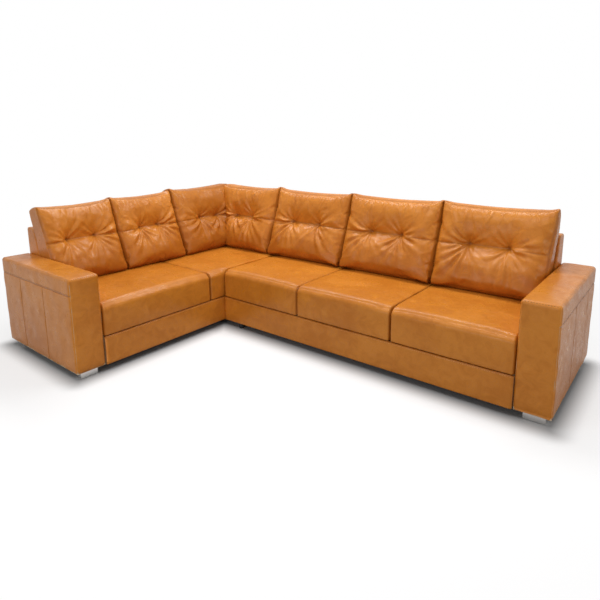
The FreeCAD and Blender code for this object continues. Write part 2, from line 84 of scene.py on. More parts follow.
def wingBox(node, wing):
    # lowest and highest (right, up, out) of a CAD node
    low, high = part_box(node)
    if wing == "long":
        return np.array([low.x, low.z, -high.y]), np.array([high.x, high.z, -low.y])
    return np.array([low.y, low.z, low.x]), np.array([high.y, high.z, high.x])


def faceDepth(up):
    # thickness of the fixed back at a height: seat depth - rake * (up - seat), never more
    return sofaPlan["backSeatDepth"] - sofaPlan["rake"] * np.maximum(
        up - sofaPlan["seatTop"], 0)


def gridLines(low, high, step, fine=()):
    # even lines from low to high, with closer lines about each fine (place, half, count)
    lines = [np.linspace(low, high, max(2, int(round((high - low) / step)) + 1))]
    for place, half, count in fine:
        lines[0] = lines[0][np.abs(lines[0] - place) > half * 1.05]
        lines.append(np.linspace(place - half, place + half, count))
    lines = np.unique(np.round(np.concatenate(lines), 6))
    lines = lines[(lines >= low - 1e-9) & (lines <= high + 1e-9)]
    return np.unique(np.concatenate([[low], lines, [high]]))


def boxSkin(*lines):
    # closed quad skin of the grid lines[0] x lines[1] x lines[2], every face outwards
    counts = [len(line) for line in lines]
    quads = []
    for axis in range(3):
        u, v = [k for k in range(3) if k != axis]
        for end in (0, counts[axis] - 1):
            iu, iv = np.meshgrid(
                np.arange(counts[u] - 1), np.arange(counts[v] - 1), indexing="ij")
            corners = []
            for du, dv in ((0, 0), (1, 0), (1, 1), (0, 1)):
                ijk = [None] * 3
                ijk[axis] = np.full(iu.size, end)
                ijk[u] = (iu + du).ravel()
                ijk[v] = (iv + dv).ravel()
                corners.append((ijk[0] * counts[1] + ijk[1]) * counts[2] + ijk[2])
            ring = np.stack(corners, 1)
            quads.append(ring[:, ::-1] if (end == 0) != (axis == 1) else ring)
    keys, index = np.unique(np.concatenate(quads), return_inverse=True)
    i, rest = np.divmod(keys, counts[1] * counts[2])
    j, k = np.divmod(rest, counts[2])
    return np.stack([lines[0][i], lines[1][j], lines[2][k]], 1), index.reshape(-1, 4)


def roundBox(points, low, high, radius):
    # edges of a box rounded: core = clip(p, low + r, high - r), d = p - core,
    # p = core + d * max|d| / |d|, with a radius for each of the six sides (or each point)
    radius = np.asarray(radius, float)
    core = np.clip(points, low + radius[0], high - radius[1])
    d = points - core
    scale = np.where(d < 0, radius[0], radius[1])
    unit = d / np.maximum(scale, 1e-9)
    length = np.linalg.norm(unit, axis=1)
    factor = np.abs(unit).max(1) / np.maximum(length, 1e-9)
    return core + d * np.where(length > 1e-9, factor, 1)[:, None]


def smoothStep(x, low, high):
    # 3t^2 - 2t^3 with t = (x - low) / (high - low), kept in 0 to 1
    t = np.clip((x - low) / (high - low), 0, 1)
    return t * t * (3 - 2 * t)


def ripple(u, v, seed, length, count=9):
    # uneven soft waves: mean of sines with random directions, lengths and phases
    rng = np.random.default_rng(seed)
    angle = rng.uniform(0, 2 * math.pi, count)
    wave = 2 * math.pi / (length * rng.uniform(0.7, 1.6, count))
    phase = rng.uniform(0, 2 * math.pi, count)
    inside = (u[:, None] * np.cos(angle) + v[:, None] * np.sin(angle)) * wave + phase
    return np.sin(inside).sum(1) / math.sqrt(count)


def bell(distance, width, power=2):
    # e^(-(|distance| / width)^power)
    return np.exp(-((np.abs(distance) / width) ** power))


def surge(x, length):
    # x / l * e^(1 - x / l): rises from 0 to 1 at x = l and fades, nothing before x = 0
    return np.where(x > 0, x / length * np.exp(1 - x / length), 0)


def boxLines(low, high, steps, rims, more=((), (), ())):
    # grid lines along the three axes; a rim (half width, count) is a closer set of lines
    # at the low or high end, and more adds sets (place, half, count) at seams
    lines = []
    for axis in range(3):
        fine = list(more[axis])
        atLow, atHigh = rims[axis] or (None, None)
        if atLow:
            fine.append((low[axis] + atLow[0], *atLow))
        if atHigh:
            fine.append((high[axis] - atHigh[0], *atHigh))
        lines.append(gridLines(low[axis], high[axis], steps[axis], fine))
    return lines


def makePiece(name, points, quads, finish, body, nodes=(),
              creaseShade=None):
    # a mesh object at the origin that rides on a body
    mesh = bpy.data.meshes.new(name)
    mesh.vertices.add(len(points))
    mesh.vertices.foreach_set("co", points.astype(np.float32).ravel())
    mesh.loops.add(quads.size)
    mesh.loops.foreach_set("vertex_index", quads.astype(np.int32).ravel())
    mesh.polygons.add(len(quads))
    starts = np.arange(0, quads.size, quads.shape[1], dtype=np.int32)
    mesh.polygons.foreach_set("loop_start", starts)
    mesh.update(calc_edges=True)
    mesh.polygons.foreach_set("use_smooth", np.ones(len(quads), bool))
    # painted shade: a per-point value that darkens the leather where shade falls
    if creaseShade is not None:
        attribute = mesh.attributes.new("creaseShade", "FLOAT", "POINT")
        attribute.data.foreach_set("value", np.clip(creaseShade, 0, 1).astype(np.float32))
    piece = bpy.data.objects.new(name, mesh)
    bpy.context.collection.objects.link(piece)
    mesh.materials.append(finish)
    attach(piece, body)
    if nodes:
        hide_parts(*nodes)
    return piece


# finishes

def addNode(tree, kind, inputs=None, **settings):
    # a shader node; an input is either a constant or another node's socket
    made = tree.nodes.new(kind)
    for name, value in settings.items():
        setattr(made, name, value)
    for name, value in (inputs or {}).items():
        socket = made.inputs[name]
        if isinstance(value, bpy.types.NodeSocket):
            tree.links.new(value, socket)
        else:
            socket.default_value = value
    return made


def blendColour(tree, factor, first, second):
    # from first to second by factor; 0, 6, 7 and 2 are the mix node's colour sockets
    made = addNode(tree, "ShaderNodeMix", data_type="RGBA")
    for index, value in ((0, factor), (6, first), (7, second)):
        if isinstance(value, bpy.types.NodeSocket):
            tree.links.new(value, made.inputs[index])
        else:
            made.inputs[index].default_value = value
    return made.outputs[2]


def spread(tree, value, low, high, toLow=0.0, toHigh=1.0):
    # the range low to high carried smoothly over to toLow to toHigh
    made = addNode(tree, "ShaderNodeMapRange", {
        "Value": value, "From Min": low, "From Max": high, "To Min": toLow,
        "To Max": toHigh}, interpolation_type="SMOOTHSTEP")
    return made.outputs["Result"]


def combine(tree, operation, first, second):
    # one step of arithmetic between two values
    made = addNode(tree, "ShaderNodeMath", {0: first, 1: second}, operation=operation)
    return made.outputs[0]


def noiseOf(tree, place, scale, detail, roughness=0.5, distortion=0.0):
    # cloudy noise between 0 and 1, scale in spots per metre
    return addNode(tree, "ShaderNodeTexNoise", {
        "Vector": place, "Scale": scale, "Detail": detail, "Roughness": roughness,
        "Distortion": distortion}).outputs["Fac"]


def bumpOf(tree, height, distance, strength, under=None):
    # surface normal from a height, on top of another bump's normal where one is given
    inputs = {"Height": height, "Distance": distance, "Strength": strength}
    if under is not None:
        inputs["Normal"] = under
    return addNode(tree, "ShaderNodeBump", inputs).outputs["Normal"]


def newFinish(name, **sockets):
    # a material with its main shader's sockets set, such as Roughness=0.5
    finish = bpy.data.materials.new(name)
    finish.use_nodes = True
    shader = finish.node_tree.nodes["Principled BSDF"]
    for socket, value in sockets.items():
        shader.inputs[socket.replace("_", " ")].default_value = value
    return finish, finish.node_tree, shader


leatherLook = {
    "light": (0.665, 0.242, 0.030, 1),
    "deep": (0.520, 0.168, 0.016, 1),
    # painted shade: colour and share of the darkening in creases, seams and hollows
    "creaseShadeTone": (0.180, 0.040, 0.004, 1),
    "creaseShadeShare": 0.8,
    "rubbed": (0.780, 0.310, 0.060, 1),
    "rubbedShare": 0.30,
    "fleckShare": 0.16,
    "cloudScale": 3.1,           # spots per metre, as the other scales
    "marbleScale": 17.0,
    "fleckScale": 95.0,
    "grainScale": 210.0,
    "poreScale": 620.0,
    "wrinkleScale": 26.0,
    "grainHeight": 0.00035,
    "wrinkleHeight": 0.0012,
    "roughness": (0.24, 0.38),
    "specular": (0.46, 0.10),    # seen face on, and at a grazing angle
    "grazing": (0.66, 0.90),
    "refraction": 1.33,
}


def makeLeather(name, look):
    # tone = 0.45 clouds + 0.55 marble from deep to light, then rubbed spots, flecks and
    # painted shade in the piece's creases, seams and hollows; grain = pores less round
    # cells, over soft wrinkles
    finish, tree, shader = newFinish(name, IOR=look["refraction"])
    facing = addNode(tree, "ShaderNodeLayerWeight", {"Blend": 0.5}).outputs["Facing"]
    tree.links.new(spread(tree, facing, *look["grazing"], *look["specular"]),
                   shader.inputs["Specular IOR Level"])
    place = addNode(tree, "ShaderNodeTexCoord").outputs["Object"]
    cloud = noiseOf(tree, place, look["cloudScale"], 3.0)
    marble = noiseOf(tree, place, look["marbleScale"], 7.0, 0.62, 1.1)
    fleck = noiseOf(tree, place, look["fleckScale"], 4.0, 0.6)
    tone = combine(tree, "ADD", combine(tree, "MULTIPLY", cloud, 0.45),
                   combine(tree, "MULTIPLY", marble, 0.55))
    colour = blendColour(tree, spread(tree, tone, 0.36, 0.64), look["deep"], look["light"])
    colour = blendColour(tree, spread(tree, marble, 0.60, 0.78, 0.0, look["rubbedShare"]),
                         colour, look["rubbed"])
    colour = blendColour(tree, spread(tree, fleck, 0.30, 0.75, look["fleckShare"], 0.0),
                         colour, look["deep"])
    # painted shade: a per-point value darkens creases, seams, feet and faces out of sight
    creaseShade = addNode(tree, "ShaderNodeAttribute", attribute_name="creaseShade").outputs["Fac"]
    colour = blendColour(tree, combine(tree, "MULTIPLY", creaseShade, look["creaseShadeShare"]),
                         colour, look["creaseShadeTone"])
    tree.links.new(colour, shader.inputs["Base Color"])
    smooth, rough = look["roughness"]
    tree.links.new(spread(tree, marble, 0.30, 0.72, rough, smooth),
                   shader.inputs["Roughness"])
    cells = addNode(tree, "ShaderNodeTexVoronoi", {
        "Vector": place, "Scale": look["grainScale"], "Randomness": 1.0},
        feature="SMOOTH_F1").outputs["Distance"]
    pores = noiseOf(tree, place, look["poreScale"], 2.0)
    grain = combine(tree, "ADD", combine(tree, "MULTIPLY", cells, -0.8),
                    combine(tree, "MULTIPLY", pores, 0.35))
    wrinkles = noiseOf(tree, place, look["wrinkleScale"], 5.0, 0.55, 0.6)
    soft = bumpOf(tree, wrinkles, look["wrinkleHeight"], 0.8)
    tree.links.new(bumpOf(tree, grain, look["grainHeight"], 0.6, soft),
                   shader.inputs["Normal"])
    return finish


plainLooks = {
    "timber": {"specular": 0.3, "stretch": 9, "fineScale": 160.0, "relief": 0.0006},
    "weave": {"specular": 0.2, "unevenness": 0.4, "relief": 0.0005},
    "metal": {"stretch": 14, "shade": 0.93, "smoothest": 0.8, "roughest": 1.3},
    "plastic": {"specular": 0.4, "scale": 420.0, "paler": 1.35, "smoothest": 0.85,
                "roughest": 1.15, "relief": 0.0002},
}


def makeTimber(name, light, dark, ring, rough):
    # stretched rings with a finer grain: 0.75 rings + 0.25 fine, from dark to light
    look = plainLooks["timber"]
    finish, tree, shader = newFinish(name, Roughness=rough,
                                     Specular_IOR_Level=look["specular"])
    place = addNode(tree, "ShaderNodeTexCoord").outputs["Object"]
    stretched = addNode(tree, "ShaderNodeMapping", {
        "Vector": place, "Scale": (1, 1, look["stretch"])}).outputs["Vector"]
    rings = noiseOf(tree, stretched, ring, 6.0, distortion=0.4)
    fine = noiseOf(tree, place, look["fineScale"], 3.0)
    mixed = combine(tree, "ADD", combine(tree, "MULTIPLY", rings, 0.75),
                    combine(tree, "MULTIPLY", fine, 0.25))
    tree.links.new(blendColour(tree, spread(tree, mixed, 0.35, 0.65), dark, light),
                   shader.inputs["Base Color"])
    tree.links.new(bumpOf(tree, mixed, look["relief"], 0.4), shader.inputs["Normal"])
    return finish


def makeWeave(name, light, dark, threads, rough):
    # two crossed wave bands make the woven look of straps and lining
    look = plainLooks["weave"]
    finish, tree, shader = newFinish(name, Roughness=rough,
                                     Specular_IOR_Level=look["specular"])
    place = addNode(tree, "ShaderNodeTexCoord").outputs["Object"]
    bands = [addNode(tree, "ShaderNodeTexWave", {
        "Vector": place, "Scale": threads, "Distortion": look["unevenness"]},
        bands_direction=axis).outputs["Fac"] for axis in ("X", "Y")]
    weave = combine(tree, "MULTIPLY", bands[0], bands[1])
    tree.links.new(blendColour(tree, weave, dark, light), shader.inputs["Base Color"])
    tree.links.new(bumpOf(tree, weave, look["relief"], 0.5), shader.inputs["Normal"])
    return finish


def makeMetal(name, colour, rough, brush):
    # brushed lines: stretched noise shades the colour and roughens the shine
    look = plainLooks["metal"]
    finish, tree, shader = newFinish(name, Metallic=1.0)
    place = addNode(tree, "ShaderNodeTexCoord").outputs["Object"]
    stretched = addNode(tree, "ShaderNodeMapping", {
        "Vector": place, "Scale": (1, 1, look["stretch"])}).outputs["Vector"]
    lines = noiseOf(tree, stretched, brush, 4.0)
    shade = tuple(look["shade"] * c for c in colour[:3]) + (1,)
    tree.links.new(blendColour(tree, lines, colour, shade), shader.inputs["Base Color"])
    tree.links.new(spread(tree, lines, 0.3, 0.7, rough * look["smoothest"],
                          rough * look["roughest"]), shader.inputs["Roughness"])
    return finish


def makePlastic(name, colour, rough):
    # fine moulded texture that pales the colour a little
    look = plainLooks["plastic"]
    finish, tree, shader = newFinish(name, Specular_IOR_Level=look["specular"])
    place = addNode(tree, "ShaderNodeTexCoord").outputs["Object"]
    texture = noiseOf(tree, place, look["scale"], 3.0)
    pale = tuple(look["paler"] * c + 0.004 for c in colour[:3]) + (1,)
    tree.links.new(blendColour(tree, texture, colour, pale), shader.inputs["Base Color"])
    tree.links.new(spread(tree, texture, 0.3, 0.7, rough * look["smoothest"],
                          rough * look["roughest"]), shader.inputs["Roughness"])
    tree.links.new(bumpOf(tree, texture, look["relief"], 0.3), shader.inputs["Normal"])
    return finish


caramelLeather = makeLeather("caramelLeather", leatherLook)
darkLook = dict(leatherLook, light=(0.20, 0.07, 0.02, 1), deep=(0.12, 0.04, 0.01, 1),
                grainScale=900.0, roughness=(0.5, 0.6))
# the bands' thread: partly its own pale colour, partly a painted highlight on those stitches
paleHighlightLook = dict(leatherLook, light=(0.85, 0.45, 0.16, 1), deep=(0.72, 0.34, 0.10, 1),
                grainScale=900.0, roughness=(0.5, 0.6))
darkThread = makeLeather("darkThread", darkLook)
paleHighlightThread = makeLeather("paleHighlightThread", paleHighlightLook)
beechTimber = makeTimber("beechTimber", light=(0.58, 0.38, 0.21, 1),
                         dark=(0.42, 0.25, 0.12, 1), ring=9, rough=0.6)
birchPly = makeTimber("birchPly", light=(0.68, 0.52, 0.33, 1),
                      dark=(0.52, 0.37, 0.21, 1), ring=14, rough=0.55)
elasticWebbing = makeWeave("elasticWebbing", light=(0.10, 0.09, 0.08, 1),
                           dark=(0.03, 0.028, 0.025, 1), threads=160, rough=0.8)
blackLining = makeWeave("blackLining", light=(0.045, 0.045, 0.05, 1),
                        dark=(0.012, 0.012, 0.014, 1), threads=230, rough=0.9)
polishedMetal = makeMetal("polishedMetal", (0.80, 0.79, 0.77, 1), rough=0.17, brush=18)
zincSteel = makeMetal("zincSteel", (0.62, 0.63, 0.64, 1), rough=0.4, brush=90)
blackPlastic = makePlastic("blackPlastic", (0.018, 0.018, 0.019, 1), rough=0.5)

slotFinishes = {
    "leather": caramelLeather, "timber": beechTimber, "plywood": birchPly,
    "webbing": elasticWebbing, "lining": blackLining, "polished_metal": polishedMetal,
    "black_plastic": blackPlastic, "zinc_steel": zincSteel,
}
nodeSlots = {
    "back_frame": "timber", "base_rails": "timber", "cross_rails": "timber",
    "arm_frame": "timber", "arm_panels": "plywood", "webbing": "webbing",
    "dust_cover": "lining", "metal_feet": "polished_metal",
    "plastic_glides": "black_plastic", "foot_studs": "zinc_steel",
    "connector_tongues": "zinc_steel", "connector_sockets": "zinc_steel",
}
for nodeName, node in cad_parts.items():
    for ending, slotName in nodeSlots.items():
        if nodeName.endswith(ending):
            node.data.materials.clear()
            node.data.materials.append(slotFinishes[slotName])
print("finishes ready")


# camera, lamps and floor

cameraPlan = {
    "place": (2.00785, -2.3242, 1.40116),
    "yaw": 39.103, "pitch": 10.882, "roll": -0.608,   # degrees, pitch looks down
    "lens": 29.93, "sensorWidth": 36, "shift": (0.00857, -0.1137),
}
yaw, pitch, roll = (math.radians(cameraPlan[k]) for k in ("yaw", "pitch", "roll"))
ahead = Vector((-math.sin(yaw) * math.cos(pitch), math.cos(yaw) * math.cos(pitch),
                -math.sin(pitch)))
side = Vector((math.cos(yaw), math.sin(yaw), 0))
above = side.cross(ahead)
sideRolled = side * math.cos(roll) + above * math.sin(roll)
aboveRolled = above * math.cos(roll) - side * math.sin(roll)
cameraData = bpy.data.cameras.new("photoView")
cameraData.lens = cameraPlan["lens"]
cameraData.sensor_fit = "HORIZONTAL"
cameraData.sensor_width = cameraPlan["sensorWidth"]
cameraData.shift_x, cameraData.shift_y = cameraPlan["shift"]
camera = bpy.data.objects.new("photoView", cameraData)
turned = Matrix((sideRolled, aboveRolled, -ahead)).transposed().to_4x4()
camera.matrix_world = Matrix.Translation(cameraPlan["place"]) @ turned
bpy.context.collection.objects.link(camera)
bpy.context.scene.camera = camera
bpy.context.scene.view_settings.view_transform = "Standard"

lampPlan = {
    # name: (place, looks at, size, radiance)
    "ceilingSoftbox": ((-0.30, 0.95, 3.10), (-0.10, 0.00, 0.4), (4.2, 0.6), 9.2),
    "wideSoftbox": ((0.40, -1.60, 4.00), (0.00, 0.00, 0.4), (3.4, 1.2), 3.6),
    "sideSoftbox": ((4.2, -0.2, 2.0), (0.6, 0.0, 0.4), (1.2, 1.4), 2.8),
    "frontSoftbox": ((0.2, -4.6, 1.5), (-0.1, -0.4, 0.3), (3.0, 1.5), 2.7),
}
for lampName, (spot, target, (wide, tall), radiance) in lampPlan.items():
    lampData = bpy.data.lights.new(lampName, "AREA")
    lampData.shape = "RECTANGLE"
    lampData.size, lampData.size_y = wide, tall
    lampData.energy = radiance * math.pi * wide * tall
    lamp = bpy.data.objects.new(lampName, lampData)
    lamp.location = spot
    lamp.rotation_euler = (Vector(target) - Vector(spot)).to_track_quat(
        "-Z", "Y").to_euler()
    bpy.context.collection.objects.link(lamp)

roomPlan = {
    "skyLevel": 0.28, "floorTone": 0.42, "floorLift": 0.62, "floorSize": 30.0,
    "floorCloud": 1.5, "floorShade": 0.99,
    "fadeFrom": 2.0, "fadeTo": 3.6,      # from the middle, the floor turns plain white
    "shadeFrom": -0.03, "shadeTo": 0.13,     # from the sofa's outline, the shadow's edge
}


def seenRay(tree):
    # 1 for what the camera sees, straight, mirrored or through glass, 0 for the lighting
    paths = addNode(tree, "ShaderNodeLightPath").outputs
    return combine(tree, "MAXIMUM", paths["Is Camera Ray"], combine(
        tree, "MAXIMUM", paths["Is Glossy Ray"], paths["Is Transmission Ray"]))


def vectorStep(tree, operation, *parts):
    # one step of arithmetic between vectors
    return addNode(tree, "ShaderNodeVectorMath", dict(enumerate(parts)),
                   operation=operation).outputs


def outlineDistance(tree, place, low, high):
    # distance to an upright box's outline seen from above, less than 0 inside it:
    # |max(q, 0)| + min(max(qx, qy), 0) with q = |p - centre| - half
    centre = ((low[0] + high[0]) / 2, (low[1] + high[1]) / 2, 0)
    halfSize = ((high[0] - low[0]) / 2, (high[1] - low[1]) / 2, 1)
    size = vectorStep(tree, "ABSOLUTE", vectorStep(tree, "SUBTRACT", place, centre)[0])[0]
    beyond = vectorStep(tree, "SUBTRACT", size, halfSize)[0]
    parts = addNode(tree, "ShaderNodeSeparateXYZ", {"Vector": beyond}).outputs
    inside = combine(tree, "MINIMUM", combine(tree, "MAXIMUM", parts[0], parts[1]), 0.0)
    clear = vectorStep(tree, "MAXIMUM", beyond, (0, 0, 0))[0]
    return combine(tree, "ADD", inside, vectorStep(tree, "LENGTH", clear)["Value"])


world = bpy.data.worlds.new("studio")
bpy.context.scene.world = world
world.use_nodes = True
skyTree = world.node_tree
skyNode = skyTree.nodes["Background"]
skyTree.links.new(
    addNode(skyTree, "ShaderNodeMapRange", {
        "Value": seenRay(skyTree), "To Min": roomPlan["skyLevel"], "To Max": 1.0}
        ).outputs["Result"],
    skyNode.inputs["Strength"])
skyNode.inputs["Color"].default_value = (1, 1, 1, 1)

half = roomPlan["floorSize"] / 2
floorMesh = bpy.data.meshes.new("studioFloor")
floorMesh.from_pydata([(-half, -half, 0), (half, -half, 0), (half, half, 0),
                       (-half, half, 0)], [], [(0, 1, 2, 3)])
floor = bpy.data.objects.new("studioFloor", floorMesh)
bpy.context.collection.objects.link(floor)
floorFinish, floorTree, floorShader = newFinish(
    "paleFloor", Roughness=0.9, Specular_IOR_Level=0.0)
pale, dim = roomPlan["floorTone"], roomPlan["floorTone"] * roomPlan["floorShade"]
floorPlace = addNode(floorTree, "ShaderNodeTexCoord").outputs["Object"]
floorNoise = noiseOf(floorTree, floorPlace, roomPlan["floorCloud"], 2.0)
floorTree.links.new(blendColour(
    floorTree, floorNoise, (pale, pale, pale, 1), (dim, dim, pale, 1)),
    floorShader.inputs["Base Color"])
floorShader.inputs["Emission Color"].default_value = (1, 1, 1, 1)
floorSeen = seenRay(floorTree)
sofaLow, shortHigh = (corner.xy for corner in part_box("left_arm_cover"))
sofaHigh = Vector((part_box("right_arm_cover")[1].x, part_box("right_back_cover")[1].y))
longLow = Vector((sofaLow.x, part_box("seat_1_cover")[0].y))
shortHigh.y = sofaHigh.y
# painted shadow: the floor's glow for seen rays fades to nothing at the sofa's outline, so the
# floor is darker there
away = combine(floorTree, "MINIMUM",
               outlineDistance(floorTree, floorPlace, longLow, sofaHigh),
               outlineDistance(floorTree, floorPlace, sofaLow, shortHigh))
lift = spread(floorTree, away, roomPlan["shadeFrom"], roomPlan["shadeTo"], 0.0,
              roomPlan["floorLift"])
floorTree.links.new(combine(floorTree, "MULTIPLY", floorSeen, lift),
                    floorShader.inputs["Emission Strength"])
# far from the sofa the floor turns into the white of the background
distance = vectorStep(floorTree, "LENGTH", floorPlace)["Value"]
farFloor = addNode(floorTree, "ShaderNodeEmission", {"Color": (1, 1, 1, 1)})
floorTree.links.new(spread(floorTree, floorSeen, 0.0, 1.0, roomPlan["skyLevel"], 1.0),
                    farFloor.inputs["Strength"])
fade = addNode(floorTree, "ShaderNodeMixShader", {
    0: spread(floorTree, distance, roomPlan["fadeFrom"], roomPlan["fadeTo"])})
floorTree.links.new(floorShader.outputs[0], fade.inputs[1])
floorTree.links.new(farFloor.outputs[0], fade.inputs[2])
floorTree.links.new(fade.outputs[0],
                    floorTree.nodes["Material Output"].inputs["Surface"])
floorMesh.materials.append(floorFinish)
print("camera, lamps and floor ready")


# seats

seatPlan = {
    "steps": (0.014, 0.014, 0.014),
    "rims": (((0.020, 9), (0.020, 9)), ((0.015, 7), (0.025, 9)), ((0.015, 5), (0.030, 11))),
    "frontRadius": 0.050,        # the long soft front edge
    "edgeRadius": 0.016,         # the other edges of the top
    "footRadius": 0.005,
    "rearRadius": 0.012,
    "sideShare": 0.4,            # upright edges' radius as a share of the top edges'
    "sideGrowth": 0.006,         # and how much it grows at the front
    "frontZone": (0.11, 0.05),   # where the radius grows, from the front
    "joinedRadius": 0.006,       # corner seat where the long wing's seat is beside it
    "joinedZone": (0.005, 0.055),
    "seamDip": 0.011,            # how far the top falls towards the seams
    "seamReach": 0.085,
    "frontDip": 0.004,           # and towards the front
    "frontReach": 0.10,
    "frontSwell": 0.006,
    "ripple": 0.0009,
    "topWave": 0.16,
    "frontWave": 0.12,
    "shadeReach": 0.006,
    "fill": 0.9,
    "seats": {                   # name: wing
        "seat_1": "long", "seat_2": "long", "seat_3": "long",
        "corner_seat": "short", "left_seat": "short",
    },
}
longFront = wingBox("seat_1_cover", "long")[1][2]


def seatSkin(name, wing, rule, seed):
    # box with rounded edges; top = seat - dip * e^(-(d / reach)^1.2), d from the nearest
    # seam; front face pulled in by swell * (1 - (1 - s^4) * (1 - |2t - 1|^3))
    low, high = wingBox(name + "_cover", wing)
    points, quads = boxSkin(*boxLines(low, high, rule["steps"], rule["rims"]))
    right, up, out = points.T
    share, t, q = ((points - low) / (high - low)).T
    s = 2 * share - 1
    edge, front = rule["edgeRadius"], rule["frontRadius"]
    radius = np.full(len(points), front)
    if name == "corner_seat":    # rounded only where the long wing's seat isn't beside it
        before, after = rule["joinedZone"]
        radius = rule["joinedRadius"] + (front - rule["joinedRadius"]) * (
            1 - smoothStep(right, -longFront - before, -longFront + after))
    far, near = rule["frontZone"]
    nearEdge = smoothStep(out, high[2] - far, high[2] - near)
    sides = rule["sideShare"] * edge + rule["sideGrowth"] * nearEdge
    even = np.ones_like(up)
    shaped = roundBox(points, low, high, np.stack([
        np.stack([sides, rule["footRadius"] * even, rule["rearRadius"] * even], 1),
        np.stack([sides, edge + (radius - edge) * nearEdge, radius], 1)]))
    fromEnd = np.maximum(np.minimum(right - low[0], high[0] - right), 0)
    dip = rule["seamDip"] * bell(fromEnd, rule["seamReach"], 1.2)
    dip += rule["frontDip"] * bell(high[2] - out, rule["frontReach"], 1) * (q > 0.3)
    wavy = rule["ripple"] * ripple(right, out + up, seed, rule["topWave"])
    shaped[:, 1] += smoothStep(t, 0.6, 1.0) * (wavy * smoothStep(q, 0.2, 0.5) - dip)
    belly = (1 - np.abs(s) ** 4) * (1 - np.abs(2 * t - 1) ** 3)
    wavy = 0.8 * rule["ripple"] * ripple(right, up, seed + 5, rule["frontWave"])
    shaped[:, 2] += smoothStep(q, 0.85, 1.0) * (rule["frontSwell"] * (belly - 1) + wavy)
    # painted shade: darker along the seams between seats, along the foot, and on faces out of
    # sight
    creaseShade = 0.7 * bell(fromEnd, rule["shadeReach"], 1)
    creaseShade += 0.5 * bell(up - low[1], rule["shadeReach"], 1)
    seen = (up > high[1] - onFace) | (out > high[2] - onFace)
    return shaped, quads, np.where(seen, creaseShade, 0.4)


for seed, (seatName, wing) in enumerate(seatPlan["seats"].items(), 11):
    points, quads, creaseShade = seatSkin(seatName, wing, seatPlan, seed)
    makePiece(seatName, toFrame(points, wing), quads, caramelLeather, "sofa",
              (seatName + "_cover", seatName + "_filling"), creaseShade)
print("seats ready")


# back pillows

pillowPlan = {
    "step": 0.0098,
    "depthStep": 0.075,        # as a share, like the rims below
    "rims": (((0.012, 4), (0.012, 4)), ((0.014, 4), (0.014, 4)), (None, (0.030, 3))),
    # edges' radii at the left, foot and rear, then at the right, top and front
    "radii": ((0.010, 0.045, 0.020), (0.010, 0.013, 0.013)),
    "seamDepth": 0.200,        # front panel's seam at the foot, from the fixed back
    "taper": 0.38,             # share of it that is lost at the top
    "crown": 0.033,            # how far the front panel swells past its seam
    "valley": (0.052, 0.012),  # the sewn line at half height, between and beside the tufts
    "valleyReach": (0.072, 0.036),     # above and below it
    "valleyBlend": (0.06, 0.01),       # beside a tuft, outwards and inwards
    "midLine": 0.53,           # its share of the height
    "tuftDip": 0.024,
    "tuftReach": 0.042,
    "heldRadius": 0.012,       # what the cloth keeps in place about a tuft
    "heldLine": 0.008,         # and above and below the sewn line
    "topSag": 0.017,
    "topCrown": 0.006,
    "ear": 0.012,
    "earReach": 0.075,
    "sideDraw": 0.002,
    "freeDraw": 0.024,         # how far the end beside the right arm narrows to the rear
    "rearDrop": 0.030,
    "longShift": -0.012,       # how far the sewn ends lie from the plain solids' ends
    "shortShift": -0.018,
    "overArm": (-0.006, 0.004),        # how far an outer end reaches, low and over the arm
    "leftEndMore": 0.008,
    "cornerGap": 0.004,        # corner pillow from the short wing's pillows
    "cornerReach": 0.040,      # how far the short wing's last pillow reaches into the corner
    "slack": 0.0004,           # kept inside the ends
    "footSink": 0.001,         # the foot presses into the seat
    "fill": 0.8,
    "pillows": {
        # tufts as shares of the width, ears and fullness of the left and right end, rise
        # of the top
        "corner_pillow": {"wing": "long", "tufts": (0.21, 0.53), "ears": (1.0, 1.0),
                          "rise": 0.012, "full": (1.0, 0.0)},
        "pillow_1": {"wing": "long", "tufts": (0.27, 0.64), "ears": (1.0, 1.0),
                     "rise": 0.004, "full": (0.0, 0.0)},
        "pillow_2": {"wing": "long", "tufts": (0.286, 0.627), "ears": (1.0, 1.0),
                     "rise": 0.004, "full": (0.0, 0.0)},
        "pillow_3": {"wing": "long", "tufts": (0.297, 0.654), "ears": (1.0, 1.0),
                     "rise": 0.002, "full": (0.0, 0.0)},
        "left_pillow_1": {"wing": "short", "tufts": (0.43, 0.74), "ears": (1.0, 1.0),
                          "rise": 0.014, "full": (0.0, 1.0)},
        "left_pillow_2": {"wing": "short", "tufts": (0.36, 0.669), "ears": (0.9, 1.0),
                          "rise": -0.002, "full": (0.0, 0.0)},
        "left_pillow_3": {"wing": "short", "tufts": (0.272, 0.667), "ears": (0.5, 0.9),
                          "rise": -0.010, "full": (0.0, 0.0)},
    },
}


def pillowSize(name, wing):
    # width and height of a pillow's solid
    low, high = wingBox(name + "_cover", wing)
    return high[0] - low[0], high[1] - low[1]


def pillowGrid(name, wing, rule):
    # shares a, b, c of the width, height and depth over a pillow's closed skin
    width, tall = pillowSize(name, wing)
    steps = rule["step"] / width, rule["step"] / tall, rule["depthStep"]
    return boxSkin(*boxLines((0, 0, 0), (1, 1, 1), steps, rule["rims"]))


def tuftPlaces(name, facts, rule):
    # across and up of both tufts on the front panel
    width, tall = pillowSize(name, facts["wing"])
    return [(share * width, rule["midLine"] * tall) for share in facts["tufts"]]


